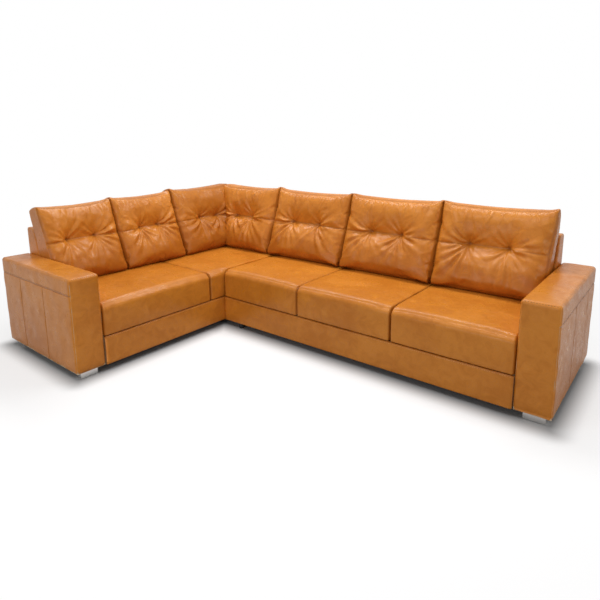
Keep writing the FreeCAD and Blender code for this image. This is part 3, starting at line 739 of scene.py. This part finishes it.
def pillowEnds(name, wing, up, rule):
    # where a pillow's left and right ends lie at a height
    low, high = wingBox(name + "_cover", wing)
    shift = rule[wing + "Shift"]
    start, end = np.full_like(up, low[0] + shift), np.full_like(up, high[0] + shift)
    share = np.clip((up - low[1]) / (high[1] - low[1]), 0, 1)
    below, above = rule["overArm"]
    overArm = (above - below) * smoothStep(share, 0.5, 0.9) + below
    if name == "corner_pillow":      # leans beside the short wing's pillows
        start = sofaPlan["outerShort"] + faceDepth(up) + rule["seamDepth"] + rule["cornerGap"]
    if name == "pillow_3":           # swells a little over the arm
        end = end - shift + overArm
    if name == "left_pillow_3":
        start = start - shift - overArm - rule["leftEndMore"]
    if name == "left_pillow_1":      # reaches back beside the long wing's pillow
        end = end - shift + rule["cornerReach"] * share
    return start, end


def pillowSkin(name, facts, rule, grid, dipped):
    # boxed pillow: w(a, b, c) = c * seamDepth * (1 - taper * b) + crown * E(s) * E(t) on
    # the front panel, E(x) = (1 - |x|^n)^0.5, less a sewn valley and the tufts
    wing, full = facts["wing"], facts["full"]
    low = wingBox(name + "_cover", wing)[0]
    width, tall = pillowSize(name, wing)
    tufts = tuftPlaces(name, facts, rule)
    a, b, c = grid.T
    s, t = 2 * a - 1, 2 * b - 1
    isFront = c > 1 - onFace
    block = np.array([width, tall, rule["seamDepth"]])
    u, v, w = roundBox(grid * block, np.zeros(3), block, rule["radii"]).T.copy()
    thick = full[0] * (1 - smoothStep(a, 0.0, 0.7)) + full[1] * smoothStep(a, 0.3, 1.0)
    w *= 1 - rule["taper"] * b * (1 - thick)
    ended = np.where(s < 0, *full)
    hump = (1 - np.abs(s * (1 - 0.1 * ended)) ** 8) ** 0.5 * (1 - np.abs(t) ** 5) ** 0.5
    firstTuft, lastTuft = tufts[0][0], tufts[1][0]
    outwards, inwards = rule["valleyBlend"]
    inside = smoothStep(a * width, firstTuft - outwards, firstTuft + inwards) * (
        1 - smoothStep(a * width, lastTuft - inwards, lastTuft + outwards))
    between, beside = rule["valley"]
    fromMid = (b - rule["midLine"]) * tall
    reach = np.where(fromMid > 0, *rule["valleyReach"])
    valley = (beside + (between - beside) * inside) * bell(fromMid, reach, 1.3) * (
        1 - (1 - ended) * np.abs(s) ** 6)
    dips, nearTuft = np.zeros_like(a), np.zeros_like(a)
    for tuftU, tuftV in tufts:
        far = np.hypot(a * width - tuftU, b * tall - tuftV)
        dips += rule["tuftDip"] * bell(far, rule["tuftReach"], 1.1)
        nearTuft = np.maximum(nearTuft, isFront & (far < rule["heldRadius"]))
    w += np.where(isFront, rule["crown"] * hump - dipped * (valley + dips), 0)
    drawn = rule["sideDraw"] * (1 - t ** 2) * smoothStep(c, 0.2, 1.0) * (1 - ended)
    u -= drawn * np.sign(s) * smoothStep(np.abs(s), 0.7, 1.0)
    topPart = smoothStep(b, 0.72, 1.0)
    ears = rule["ear"] * np.where(s < 0, *facts["ears"]) * bell(
        (1 - np.abs(s)) * width, rule["earReach"])
    v += topPart * (facts["rise"] - rule["topSag"] * (1 - s ** 2) + ears * c)
    v -= topPart * rule["rearDrop"] * (1 - c) ** 2
    v += topPart * rule["topCrown"] * (4 * c * (1 - c)) * (1 - s ** 4)
    up = low[1] + v
    outer = sofaPlan["outerLong" if wing == "long" else "outerShort"]
    out = outer + faceDepth(up) + sofaPlan["gap"] + w
    start, end = pillowEnds(name, wing, up, rule)
    right = start + u * (end - start) / width
    if name == "pillow_3":
        right -= rule["freeDraw"] * smoothStep(a, 0.8, 1.0) * (1 - c) ** 1.3
    sewn = isFront & (np.abs(fromMid) < rule["heldLine"]) & (
        a * width > firstTuft) & (a * width < lastTuft)
    resting = (c < 0.05) | ((b < onFace) & (c < 0.6))
    held = np.where(resting | sewn, 1.0, nearTuft)
    return np.stack([right, up, out], 1), held


foldPlan = {
    "height": 0.0115,
    "width": 0.0042,
    "widening": 11,            # a fold is this many times longer than it grows in width
    "groove": (0.45, 1.9, 0.8),        # beside a ridge: depth, place and width as shares
    "rays": {
        # turns in degrees, strength and reach of the folds about a tuft
        "below": ((-50, -28, -9, 11, 30, 52), 1.0, 0.050),
        "outward": ((-22, -8, 6, 20), 0.85, 0.052),
        "above": ((-56, -30, 28, 55), 0.45, 0.038),
    },
    "turnMore": 7,
    "strengthMore": (0.45, 1.25),
    "reachMore": (0.7, 1.25),
    "bend": 1.2,
    "button": (0.006, 0.011),          # depth and radius of the pit at a tuft
    "buttonShade": 0.013,
    "topPuckers": {"first": 0.03, "last": 0.02, "pitch": 0.034, "stray": 0.014,
                   "long": (0.018, 0.045), "strength": (0.2, 1.0), "lean": 0.5,
                   "height": 0.0046, "width": 0.0075},
    "sidePuckers": {"first": 0.05, "last": 0.03, "pitch": 0.060, "stray": 0.02,
                    "long": (0.015, 0.035), "strength": (0.1, 1.0), "lean": 0.6,
                    "height": 0.0024, "width": 0.009},
    "ripple": 0.0012,
    "wave": 0.10,
    "calmEdge": 0.014,         # no folds nearer to the seams
    "midSeam": (0.0035, 0.0045),       # depth and half width of the sewn line
    "seamShade": 0.45,
    "edgeShade": 0.006,
}


def seamPuckers(along, fromSeam, length, rng, rule):
    # short folds that start at a seam: surge(d) * e^(-((x - place + lean * d) / w)^2)
    height = np.zeros_like(along)
    for place in np.arange(rule["first"], length - rule["last"], rule["pitch"]):
        place += rng.uniform(-rule["stray"], rule["stray"])
        lift = surge(fromSeam, rng.uniform(*rule["long"]))
        lift *= rule["height"] * rng.uniform(*rule["strength"])
        lean = rng.uniform(-rule["lean"], rule["lean"])
        height += lift * bell(along - place + lean * fromSeam, rule["width"])
    return height


def pillowFolds(a, b, name, facts, seed):
    # folds fanned from each tuft, ridge = surge(x) * e^(-(y / (w + x / widening))^2) along
    # a bent ray, then puckers at the seams, soft ripples and the sewn line; also painted
    # shade at the tufts, the sewn line and the edges
    rule = foldPlan
    width, tall = pillowSize(name, facts["wing"])
    u, v = a * width, b * tall
    rng = np.random.default_rng(seed)
    height, creaseShade = np.zeros_like(u), np.zeros_like(u)
    for outward, (tuftU, tuftV) in zip((-1, 1), tuftPlaces(name, facts, pillowPlan)):
        du, dv = u - tuftU, v - tuftV
        for side, (turns, usual, usualReach) in rule["rays"].items():
            for turn in turns:
                angle = {"below": turn - 90, "above": turn + 90,
                         "outward": 90 - outward * (90 + turn)}[side]
                angle = math.radians(angle + rng.uniform(-rule["turnMore"], rule["turnMore"]))
                strength = usual * rng.uniform(*rule["strengthMore"])
                reach = usualReach * rng.uniform(*rule["reachMore"])
                bend = rng.uniform(-rule["bend"], rule["bend"])
                along = du * math.cos(angle) + dv * math.sin(angle)
                across = dv * math.cos(angle) - du * math.sin(angle) + bend * along ** 2
                slim = rule["width"] + np.maximum(along, 0) / rule["widening"]
                depth, place, wide = rule["groove"]
                ridge = bell(across, slim) - depth * bell(
                    np.abs(across) - place * slim, wide * slim)
                height += rule["height"] * strength * surge(along, reach) * ridge
        far = np.hypot(du, dv)
        pit, radius = rule["button"]
        height -= pit * bell(far, radius)
        # painted shade about the tuft's pit
        creaseShade = np.maximum(creaseShade, bell(far, rule["buttonShade"]))
    height += seamPuckers(u, tall - v, width, rng, rule["topPuckers"])
    for fromSide in (u, width - u):
        height += seamPuckers(v, fromSide, tall, rng, rule["sidePuckers"])
    height += rule["ripple"] * ripple(u, v, seed + 3, rule["wave"])
    edge = np.minimum(np.minimum(u, width - u), np.minimum(v, tall - v))
    height *= smoothStep(edge, 0.0, rule["calmEdge"])
    fromMid = np.abs(b - pillowPlan["midLine"]) * tall
    depth, half = rule["midSeam"]
    height -= depth * bell(fromMid, half)
    # painted shade along the sewn line and the seams at the edges
    creaseShade = np.maximum(creaseShade, rule["seamShade"] * bell(fromMid, half))
    creaseShade = np.maximum(creaseShade, rule["seamShade"] * bell(edge, rule["edgeShade"]))
    return height, creaseShade


clothPlan = {
    "frames": 22,
    "pressure": 4.0,
    "spare": 1.035,           # how much larger the leather is cut than the shape it fills
    "mostMove": 0.017,
    "tension": 30.0, "shear": 12.0, "bending": 1.2,
    "damping": 8.0, "airDamping": 2.0,
    "mass": 0.35,
    "quality": 6,
}


def swellPillows(made, plan):
    # leather cut "spare" times larger, blown up by pressure while rear, foot and tufts hold;
    # each point then moves by d * min(1, mostMove / |d|)
    scene = bpy.context.scene
    copies = []
    for piece, cut, held in made:
        twin = bpy.data.objects.new(piece.name + "_cloth", piece.data.copy())
        bpy.context.collection.objects.link(twin)
        twin.shape_key_add(name="start")
        key = twin.shape_key_add(name="cut")
        key.data.foreach_set("co", cut.astype(np.float32).ravel())
        group = twin.vertex_groups.new(name="held")
        group.add(np.flatnonzero(held > 0.5).tolist(), 1.0, "REPLACE")
        modifier = twin.modifiers.new("swell", "CLOTH")
        cloth = modifier.settings
        cloth.quality = plan["quality"]
        cloth.mass = plan["mass"]
        cloth.tension_stiffness = cloth.compression_stiffness = plan["tension"]
        cloth.shear_stiffness = plan["shear"]
        cloth.bending_stiffness = plan["bending"]
        cloth.tension_damping = cloth.compression_damping = plan["damping"]
        cloth.shear_damping = plan["damping"]
        cloth.air_damping = plan["airDamping"]
        cloth.use_pressure = True
        cloth.uniform_pressure_force = plan["pressure"]
        cloth.vertex_group_mass = "held"
        cloth.pin_stiffness = 1.0
        cloth.rest_shape_key = key
        cloth.effector_weights.gravity = 0.0
        modifier.collision_settings.use_collision = False
        modifier.point_cache.frame_start = 1
        modifier.point_cache.frame_end = plan["frames"]
        copies.append((piece, twin))
    for number in range(1, plan["frames"] + 1):
        scene.frame_set(number)
    graph = bpy.context.evaluated_depsgraph_get()
    for piece, twin in copies:
        count = len(piece.data.vertices)
        before, after = np.empty(count * 3, np.float32), np.empty(count * 3, np.float32)
        piece.data.vertices.foreach_get("co", before)
        twin.evaluated_get(graph).data.vertices.foreach_get("co", after)
        moved = (after - before).reshape(-1, 3)
        far = np.linalg.norm(moved, axis=1)
        moved *= np.minimum(1, plan["mostMove"] / np.maximum(far, 1e-9))[:, None]
        piece.data.vertices.foreach_set("co", before + moved.ravel())
        piece.data.update()
        print(piece.name, "moved at most", round(float(far.max()), 4), "mean",
              round(float(far.mean()), 4))
        mesh = twin.data
        bpy.data.objects.remove(twin)
        bpy.data.meshes.remove(mesh)
    scene.frame_set(1)


shareLabels = ("shareA", "shareB", "shareC")
swelling = []
for pillowName, facts in pillowPlan["pillows"].items():
    wing = facts["wing"]
    grid, quads = pillowGrid(pillowName, wing, pillowPlan)
    points, held = pillowSkin(pillowName, facts, pillowPlan, grid, dipped=1)
    cut, _ = pillowSkin(pillowName, facts, pillowPlan, grid, dipped=0)
    piece = makePiece(pillowName, toFrame(points, wing), quads, caramelLeather, pillowName,
                      (pillowName + "_cover", pillowName + "_filling"))
    for label, values in zip(shareLabels, grid.T):
        attribute = piece.data.attributes.new(label, "FLOAT", "POINT")
        attribute.data.foreach_set("value", values.astype(np.float32))
    middle = cut.mean(0)
    cut = middle + (cut - middle) * clothPlan["spare"]
    swelling.append((piece, toFrame(cut, wing), held))
swellPillows(swelling, clothPlan)


# painted shade on the pillows: creases, sides, foot, lower half and the corner made darker
pillowShadePlan = {
    "joinedSide": (0.85, 0.25),        # share and reach of the shade beside a neighbour
    "freeSide": (0.35, 0.03),
    "usualTall": 0.52,                 # the reaches from the foot are metres of this
    "foot": ((0.5, 0.012), (0.20, 0.08)),
    "all": 0.04,
    "lower": (0.26, 0.10, 0.62),       # share, and the heights from and to which it fades
    "inner": (0.22, 0.20),             # pillow beside the corner: at its left, and more
}


def pillowShade(a, b, c, name, creaseShade, rule):
    # painted shade: creases, shaded sides and foot, the lower half and the pillow beside the
    # corner are darkened where shade falls: 1 - product of (1 - each)
    joined = ((a < 0.004) & (name != "left_pillow_3")) | ((a > 0.996) & (name != "pillow_3"))
    joinedShade, freeShade = (
        share * bell(1 - c, reach, 1) for share, reach in (rule["joinedSide"], rule["freeSide"]))
    tone = np.where(c > 0.985, creaseShade, np.where(joined, joinedShade, freeShade))
    foot = sum(share * bell(b * rule["usualTall"], reach, 1) for share, reach in rule["foot"])
    share, low, high = rule["lower"]
    lower = rule["all"] + share * (1 - smoothStep(b, low, high))
    inner = rule["inner"][0] + rule["inner"][1] * a if name == "left_pillow_1" else 0 * a
    return 1 - (1 - np.maximum(tone, foot)) * (1 - lower) * (1 - inner)


def refinePillow(piece, facts, rule, seed):
    # one subdivision, then p = p + out * folds(a, b) on the front panel
    wing = facts["wing"]
    smooth = piece.modifiers.new("smooth", "SUBSURF")
    smooth.levels = smooth.render_levels = 1
    graph = bpy.context.evaluated_depsgraph_get()
    fine = bpy.data.meshes.new_from_object(piece.evaluated_get(graph))
    piece.modifiers.clear()
    coarse, piece.data = piece.data, fine
    bpy.data.meshes.remove(coarse)
    fine.name = piece.name
    count = len(fine.vertices)
    shares = []
    for label in shareLabels:
        values = np.empty(count, np.float32)
        fine.attributes[label].data.foreach_get("value", values)
        shares.append(values.astype(float))
    for label in shareLabels:
        fine.attributes.remove(fine.attributes[label])
    a, b, c = shares
    height, creaseShade = pillowFolds(a, b, piece.name, facts, seed)
    points = np.empty(count * 3, np.float32)
    fine.vertices.foreach_get("co", points)
    placed = fromFrame(points.reshape(-1, 3).astype(float), wing)
    outwards = np.array([0, 0.2, 1.0])
    placed += (height * smoothStep(c, 0.985, 1.0))[:, None] * outwards
    start, end = pillowEnds(piece.name, wing, placed[:, 1], rule)
    placed[:, 0] = np.clip(placed[:, 0], start + rule["slack"], end - rule["slack"])
    placed[:, 1] = np.maximum(placed[:, 1], sofaPlan["seatTop"] - rule["footSink"])
    fine.vertices.foreach_set("co", toFrame(placed, wing).astype(np.float32).ravel())
    # painted shade from creases, sides, foot, lower half and the corner
    tone = pillowShade(a, b, c, piece.name, creaseShade, pillowShadePlan)
    attribute = fine.attributes.new("creaseShade", "FLOAT", "POINT")
    attribute.data.foreach_set("value", tone.astype(np.float32))
    fine.polygons.foreach_set("use_smooth", np.ones(len(fine.polygons), bool))
    fine.update()


for seed, (piece, _, _) in enumerate(swelling, 31):
    refinePillow(piece, pillowPlan["pillows"][piece.name], pillowPlan, seed)
print("pillows ready")


# sewn grooves

groovePlan = {"half": 0.0035, "depth": 0.003, "rim": (0.010, 9)}   # rim: lines about a seam


def seamGroove(distance):
    # depth * e^(-(d / half)^2)
    return groovePlan["depth"] * bell(distance, groovePlan["half"])


def seamRims(places):
    # closer grid lines about each seam
    return [(place, *groovePlan["rim"]) for place in places]


# fixed backs

backPlan = {
    "steps": (0.020, 0.020, 0.12),     # the last is a share of the depth
    "rims": (((0.012, 6), (0.012, 6)), ((0.010, 5), (0.020, 9)), ((0.08, 5), (0.08, 5))),
    "topRadius": 0.020,
    "edgeRadius": 0.008,
    "footRadius": 0.004,
    "ripple": 0.0015,
    "wave": 0.14,
    "wavyFrom": (0.5, 0.8),            # heights from and to which the ripple grows
    "backs": {
        # name: (wing, seams on the rear as shares of the length)
        "right_back": ("long", (0.333, 0.667)),
        "corner_back": ("long", ()),
        "left_back": ("short", (0.44,)),
    },
}


def backSkin(name, wing, seams, rule, seed):
    # out = outer + c * faceDepth(up); rounded edges; sewn grooves on the rear
    low, high = wingBox(name + "_cover", wing)
    size = high - low
    places = [low[0] + share * size[0] for share in seams]
    grid, quads = boxSkin(*boxLines((low[0], low[1], 0), (high[0], high[1], 1),
                                    rule["steps"], rule["rims"], (seamRims(places), (), ())))
    right, up, c = grid.T
    deep = faceDepth(up)
    even = np.ones_like(up)
    edge, top = rule["edgeRadius"], rule["topRadius"]
    shaped = roundBox(np.stack([right, up, c * deep], 1), np.array([low[0], low[1], 0]),
                      np.stack([high[0] * even, high[1] * even, deep], 1),
                      [[edge, rule["footRadius"], top], [edge, top, top]])
    isRear = c < onFace
    groove = sum((seamGroove(right - place) for place in places), np.zeros_like(up))
    shaped[:, 2] += low[2] + np.where(isRear, groove, 0)
    wavy = rule["ripple"] * ripple(right, up, seed, rule["wave"])
    shaped[:, 2] += smoothStep(up, *rule["wavyFrom"]) * wavy * (c > 0.5)
    if name == "corner_back":       # its end lies against the short wing's raked back
        start = sofaPlan["outerShort"] + faceDepth(shaped[:, 1]) + 2 * sofaPlan["gap"]
        share = (shaped[:, 0] - low[0]) / size[0]
        shaped[:, 0] = start + share * (high[0] - start)
    # painted shade in the sewn grooves on the rear
    return shaped, quads, np.where(isRear, groove / groovePlan["depth"] * 0.6, 0)


for seed, (backName, (wing, seams)) in enumerate(backPlan["backs"].items(), 51):
    points, quads, creaseShade = backSkin(backName, wing, seams, backPlan, seed)
    makePiece(backName, toFrame(points, wing), quads, caramelLeather, "sofa",
              (backName + "_cover", backName + "_foam"), creaseShade)
print("backs ready")


# arms

armPlan = {
    "steps": (0.020, 0.020, 0.020),
    "rims": (((0.015, 8), (0.015, 8)), (None, (0.015, 8)), ((0.015, 8), (0.015, 8))),
    "edgeRadius": 0.018,
    "footRadius": 0.004,
    "crown": 0.004,
    "frontSwell": 0.003,
    "sideSwell": 0.002,
    "swellReach": 0.02,        # how soon a side panel swells beside the cross seam
    "crossSeam": 0.100,        # below the top, on the outer side
    "ripples": ((0.0010, 0.12), (0.0008, 0.12), (0.0010, 0.11)),   # top, front, outer side
    "arms": {
        # name: (wing, outer side: 1 at the wing's high end, -1 at its low end, and upright
        #        seams as shares of the depth)
        "right_arm": ("long", 1, (0.24, 0.60)),
        "left_arm": ("short", -1, (0.29, 0.63)),
    },
}


def armSkin(name, wing, outer, uprights, rule, seed):
    # box with rounded edges, softly crowned panels, grooves where panels are sewn together
    low, high = wingBox(name + "_cover", wing)
    seamUp = high[1] - rule["crossSeam"]
    places = [low[2] + share * (high - low)[2] for share in uprights]
    points, quads = boxSkin(*boxLines(low, high, rule["steps"], rule["rims"],
                                      ((), seamRims([seamUp]), seamRims(places))))
    right, up, out = points.T
    s, t, q = (2 * (points - low) / (high - low) - 1).T
    radius = rule["edgeRadius"]
    shaped = roundBox(points, low, high,
                      [[radius, rule["footRadius"], radius], [radius] * 3])
    isTop = up > high[1] - onFace
    isFront = out > high[2] - onFace
    onOuter = right > high[0] - onFace if outer > 0 else right < low[0] + onFace
    topWave, frontWave, sideWave = (
        height * ripple(*place, seed + number, length)
        for number, (place, (height, length)) in enumerate(zip(
            ((right, out), (right, up), (out, up)), rule["ripples"])))
    crown = rule["crown"] * (1 - s ** 2) ** 0.7 * (1 - q ** 8)
    shaped[:, 1] += np.where(isTop, crown + topWave, 0)
    swell = rule["frontSwell"] * (1 - s ** 4) * (1 - t ** 8)
    shaped[:, 2] += np.where(isFront, swell + frontWave, 0)
    groove = seamGroove(up - seamUp)
    for place in places:
        groove = np.maximum(groove, np.where(up < seamUp, seamGroove(out - place), 0))
    swell = rule["sideSwell"] * (1 - bell(up - seamUp, rule["swellReach"], 1)) * (
        1 - t ** 8) * (1 - q ** 8)
    shaped[:, 0] += np.where(onOuter, outer * (swell - groove + sideWave), 0)
    # painted shade in the sewn grooves on the outer side
    return shaped, quads, np.where(onOuter, groove / groovePlan["depth"] * 0.7, 0)


for seed, (armName, (wing, outer, uprights)) in enumerate(armPlan["arms"].items(), 61):
    points, quads, creaseShade = armSkin(armName, wing, outer, uprights, armPlan, seed)
    makePiece(armName, toFrame(points, wing), quads, caramelLeather, "sofa",
              (armName + "_cover", armName + "_foam"), creaseShade)
print("arms ready")


# base bands

bandPlan = {
    "steps": (0.020, 0.020, 0.004),
    "rims": ((), ((0.008, 6), (0.008, 6)), ()),
    "edgeRadius": 0.005,
    "sideRadius": 0.002,
    "hollow": 0.002,           # how far the upper and lower edge lie behind the middle
    "ripple": 0.0006,
    "wave": 0.15,
    "shadeReach": 0.005,
    "wings": {"right": "long", "left": "short"},
}


def bandSkin(name, wing, rule, seed):
    # thin box along the wing's front; its face is drawn in by hollow * t^6 and ripples
    low, high = wingBox(name + "_base_cover", wing)
    points, quads = boxSkin(*boxLines(low, high, rule["steps"], rule["rims"]))
    right, up, out = points.T
    edge, side = rule["edgeRadius"], rule["sideRadius"]
    shaped = roundBox(points, low, high, [[side, edge, side], [side, edge, edge]])
    isFront = out > high[2] - onFace
    t = 2 * (up - low[1]) / (high[1] - low[1]) - 1
    wavy = rule["ripple"] * ripple(right, up, seed, rule["wave"])
    shaped[:, 2] += np.where(isFront, wavy - rule["hollow"] * t ** 6, 0)
    # painted shade along the band's upper edge under the seat, and on faces out of sight
    creaseShade = np.where(isFront, 0.8 * bell(high[1] - up, rule["shadeReach"], 1), 0.5)
    return shaped, quads, creaseShade


for seed, (bandName, wing) in enumerate(bandPlan["wings"].items(), 71):
    points, quads, creaseShade = bandSkin(bandName, wing, bandPlan, seed)
    makePiece(bandName + "_band", toFrame(points, wing), quads, caramelLeather, "sofa",
              (bandName + "_base_cover",), creaseShade)
print("base bands ready")


# topstitching

stitchPlan = {
    "pitch": 0.0125, "length": 0.0086, "width": 0.0024, "height": 0.0016,
    "castFrom": 0.05,          # how far before the leather the search for it begins
    "edgeInset": 0.005,        # the rows on the arms' upper front edges
    "edgeEnd": 0.016,
    "edgeLean": (0.72, -0.69),         # how they face: towards the arm, and down
    "sideEnd": 0.02,           # the rows over the arms' cross seams
    "overSeam": 0.009,
    "bandEnd": 0.01,           # the rows under the base bands' upper edges
    "underEdge": 0.008,
}


def stitchRow(name, pieceName, start, end, inward, thread, plan):
    # flat beads e(u) = centre + axes * (u / |u|) over a cube grid u, laid on the piece
    # along start to end, where a ray along inward meets its leather
    start, end, inward = (np.array(part, float) for part in (start, end, inward))
    long = np.linalg.norm(end - start)
    count = int(long / plan["pitch"])
    share = (np.arange(count) + 0.5) / count
    leather = BVHTree.FromObject(bpy.data.objects[pieceName],
                                 bpy.context.evaluated_depsgraph_get())
    along = (end - start) / long
    centres = []
    for place in start + share[:, None] * (end - start):
        found = leather.ray_cast(Vector(place - plan["castFrom"] * inward), Vector(inward))[0]
        centres.append(np.array(found if found else place))
    centres = np.array(centres)
    line = np.linspace(-1, 1, 3)
    bead, quads = boxSkin(line, line, line)
    bead /= np.linalg.norm(bead, axis=1)[:, None]
    across = np.cross(inward, along)
    axes = np.stack([along * plan["length"] / 2, across * plan["width"] / 2,
                     inward * plan["height"] / 2])
    if np.linalg.det(axes) < 0:
        axes[1] *= -1
    points = (centres[:, None, :] + bead[None] @ axes).reshape(-1, 3)
    every = (quads[None] + (np.arange(count) * len(bead))[:, None, None]).reshape(-1, 4)
    makePiece(name, points, every, thread, "sofa")


def wingRow(name, pieceName, wing, start, end, inward, thread):
    # a row whose places and direction are given as (right, up, out) of its wing
    turned = toFrame(np.array([start, end, inward], float), wing)
    stitchRow(name, pieceName, *turned, thread, stitchPlan)


for armName, (wing, _, _) in armPlan["arms"].items():
    low, high = wingBox(armName + "_cover", wing)
    inset, rim = stitchPlan["edgeInset"], stitchPlan["edgeEnd"]
    back, down = stitchPlan["edgeLean"]
    wingRow(armName + "_front_stitches", armName, wing,
            (low[0] + rim, high[1] - inset, high[2] - inset),
            (high[0] - rim, high[1] - inset, high[2] - inset), (0, down, -back), darkThread)
for armName, (wing, outer, _) in reversed(armPlan["arms"].items()):
    low, high = wingBox(armName + "_cover", wing)
    outerSide = high[0] if outer > 0 else low[0]
    row = high[1] - armPlan["crossSeam"] + stitchPlan["overSeam"]
    wingRow(armName + "_side_stitches", armName, wing,
            (outerSide, row, low[2] + stitchPlan["sideEnd"]),
            (outerSide, row, high[2] - stitchPlan["sideEnd"]), (-outer, 0, 0), darkThread)
# pale thread on the bands, partly a painted highlight
for bandName, wing in bandPlan["wings"].items():
    low, high = wingBox(bandName + "_base_cover", wing)
    row = high[1] - stitchPlan["underEdge"]
    wingRow(bandName + "_band_stitches", bandName + "_band", wing,
            (low[0] + stitchPlan["bandEnd"], row, high[2]),
            (high[0] - stitchPlan["bandEnd"], row, high[2]), (0, 0, -1), paleHighlightThread)
print("topstitching ready")
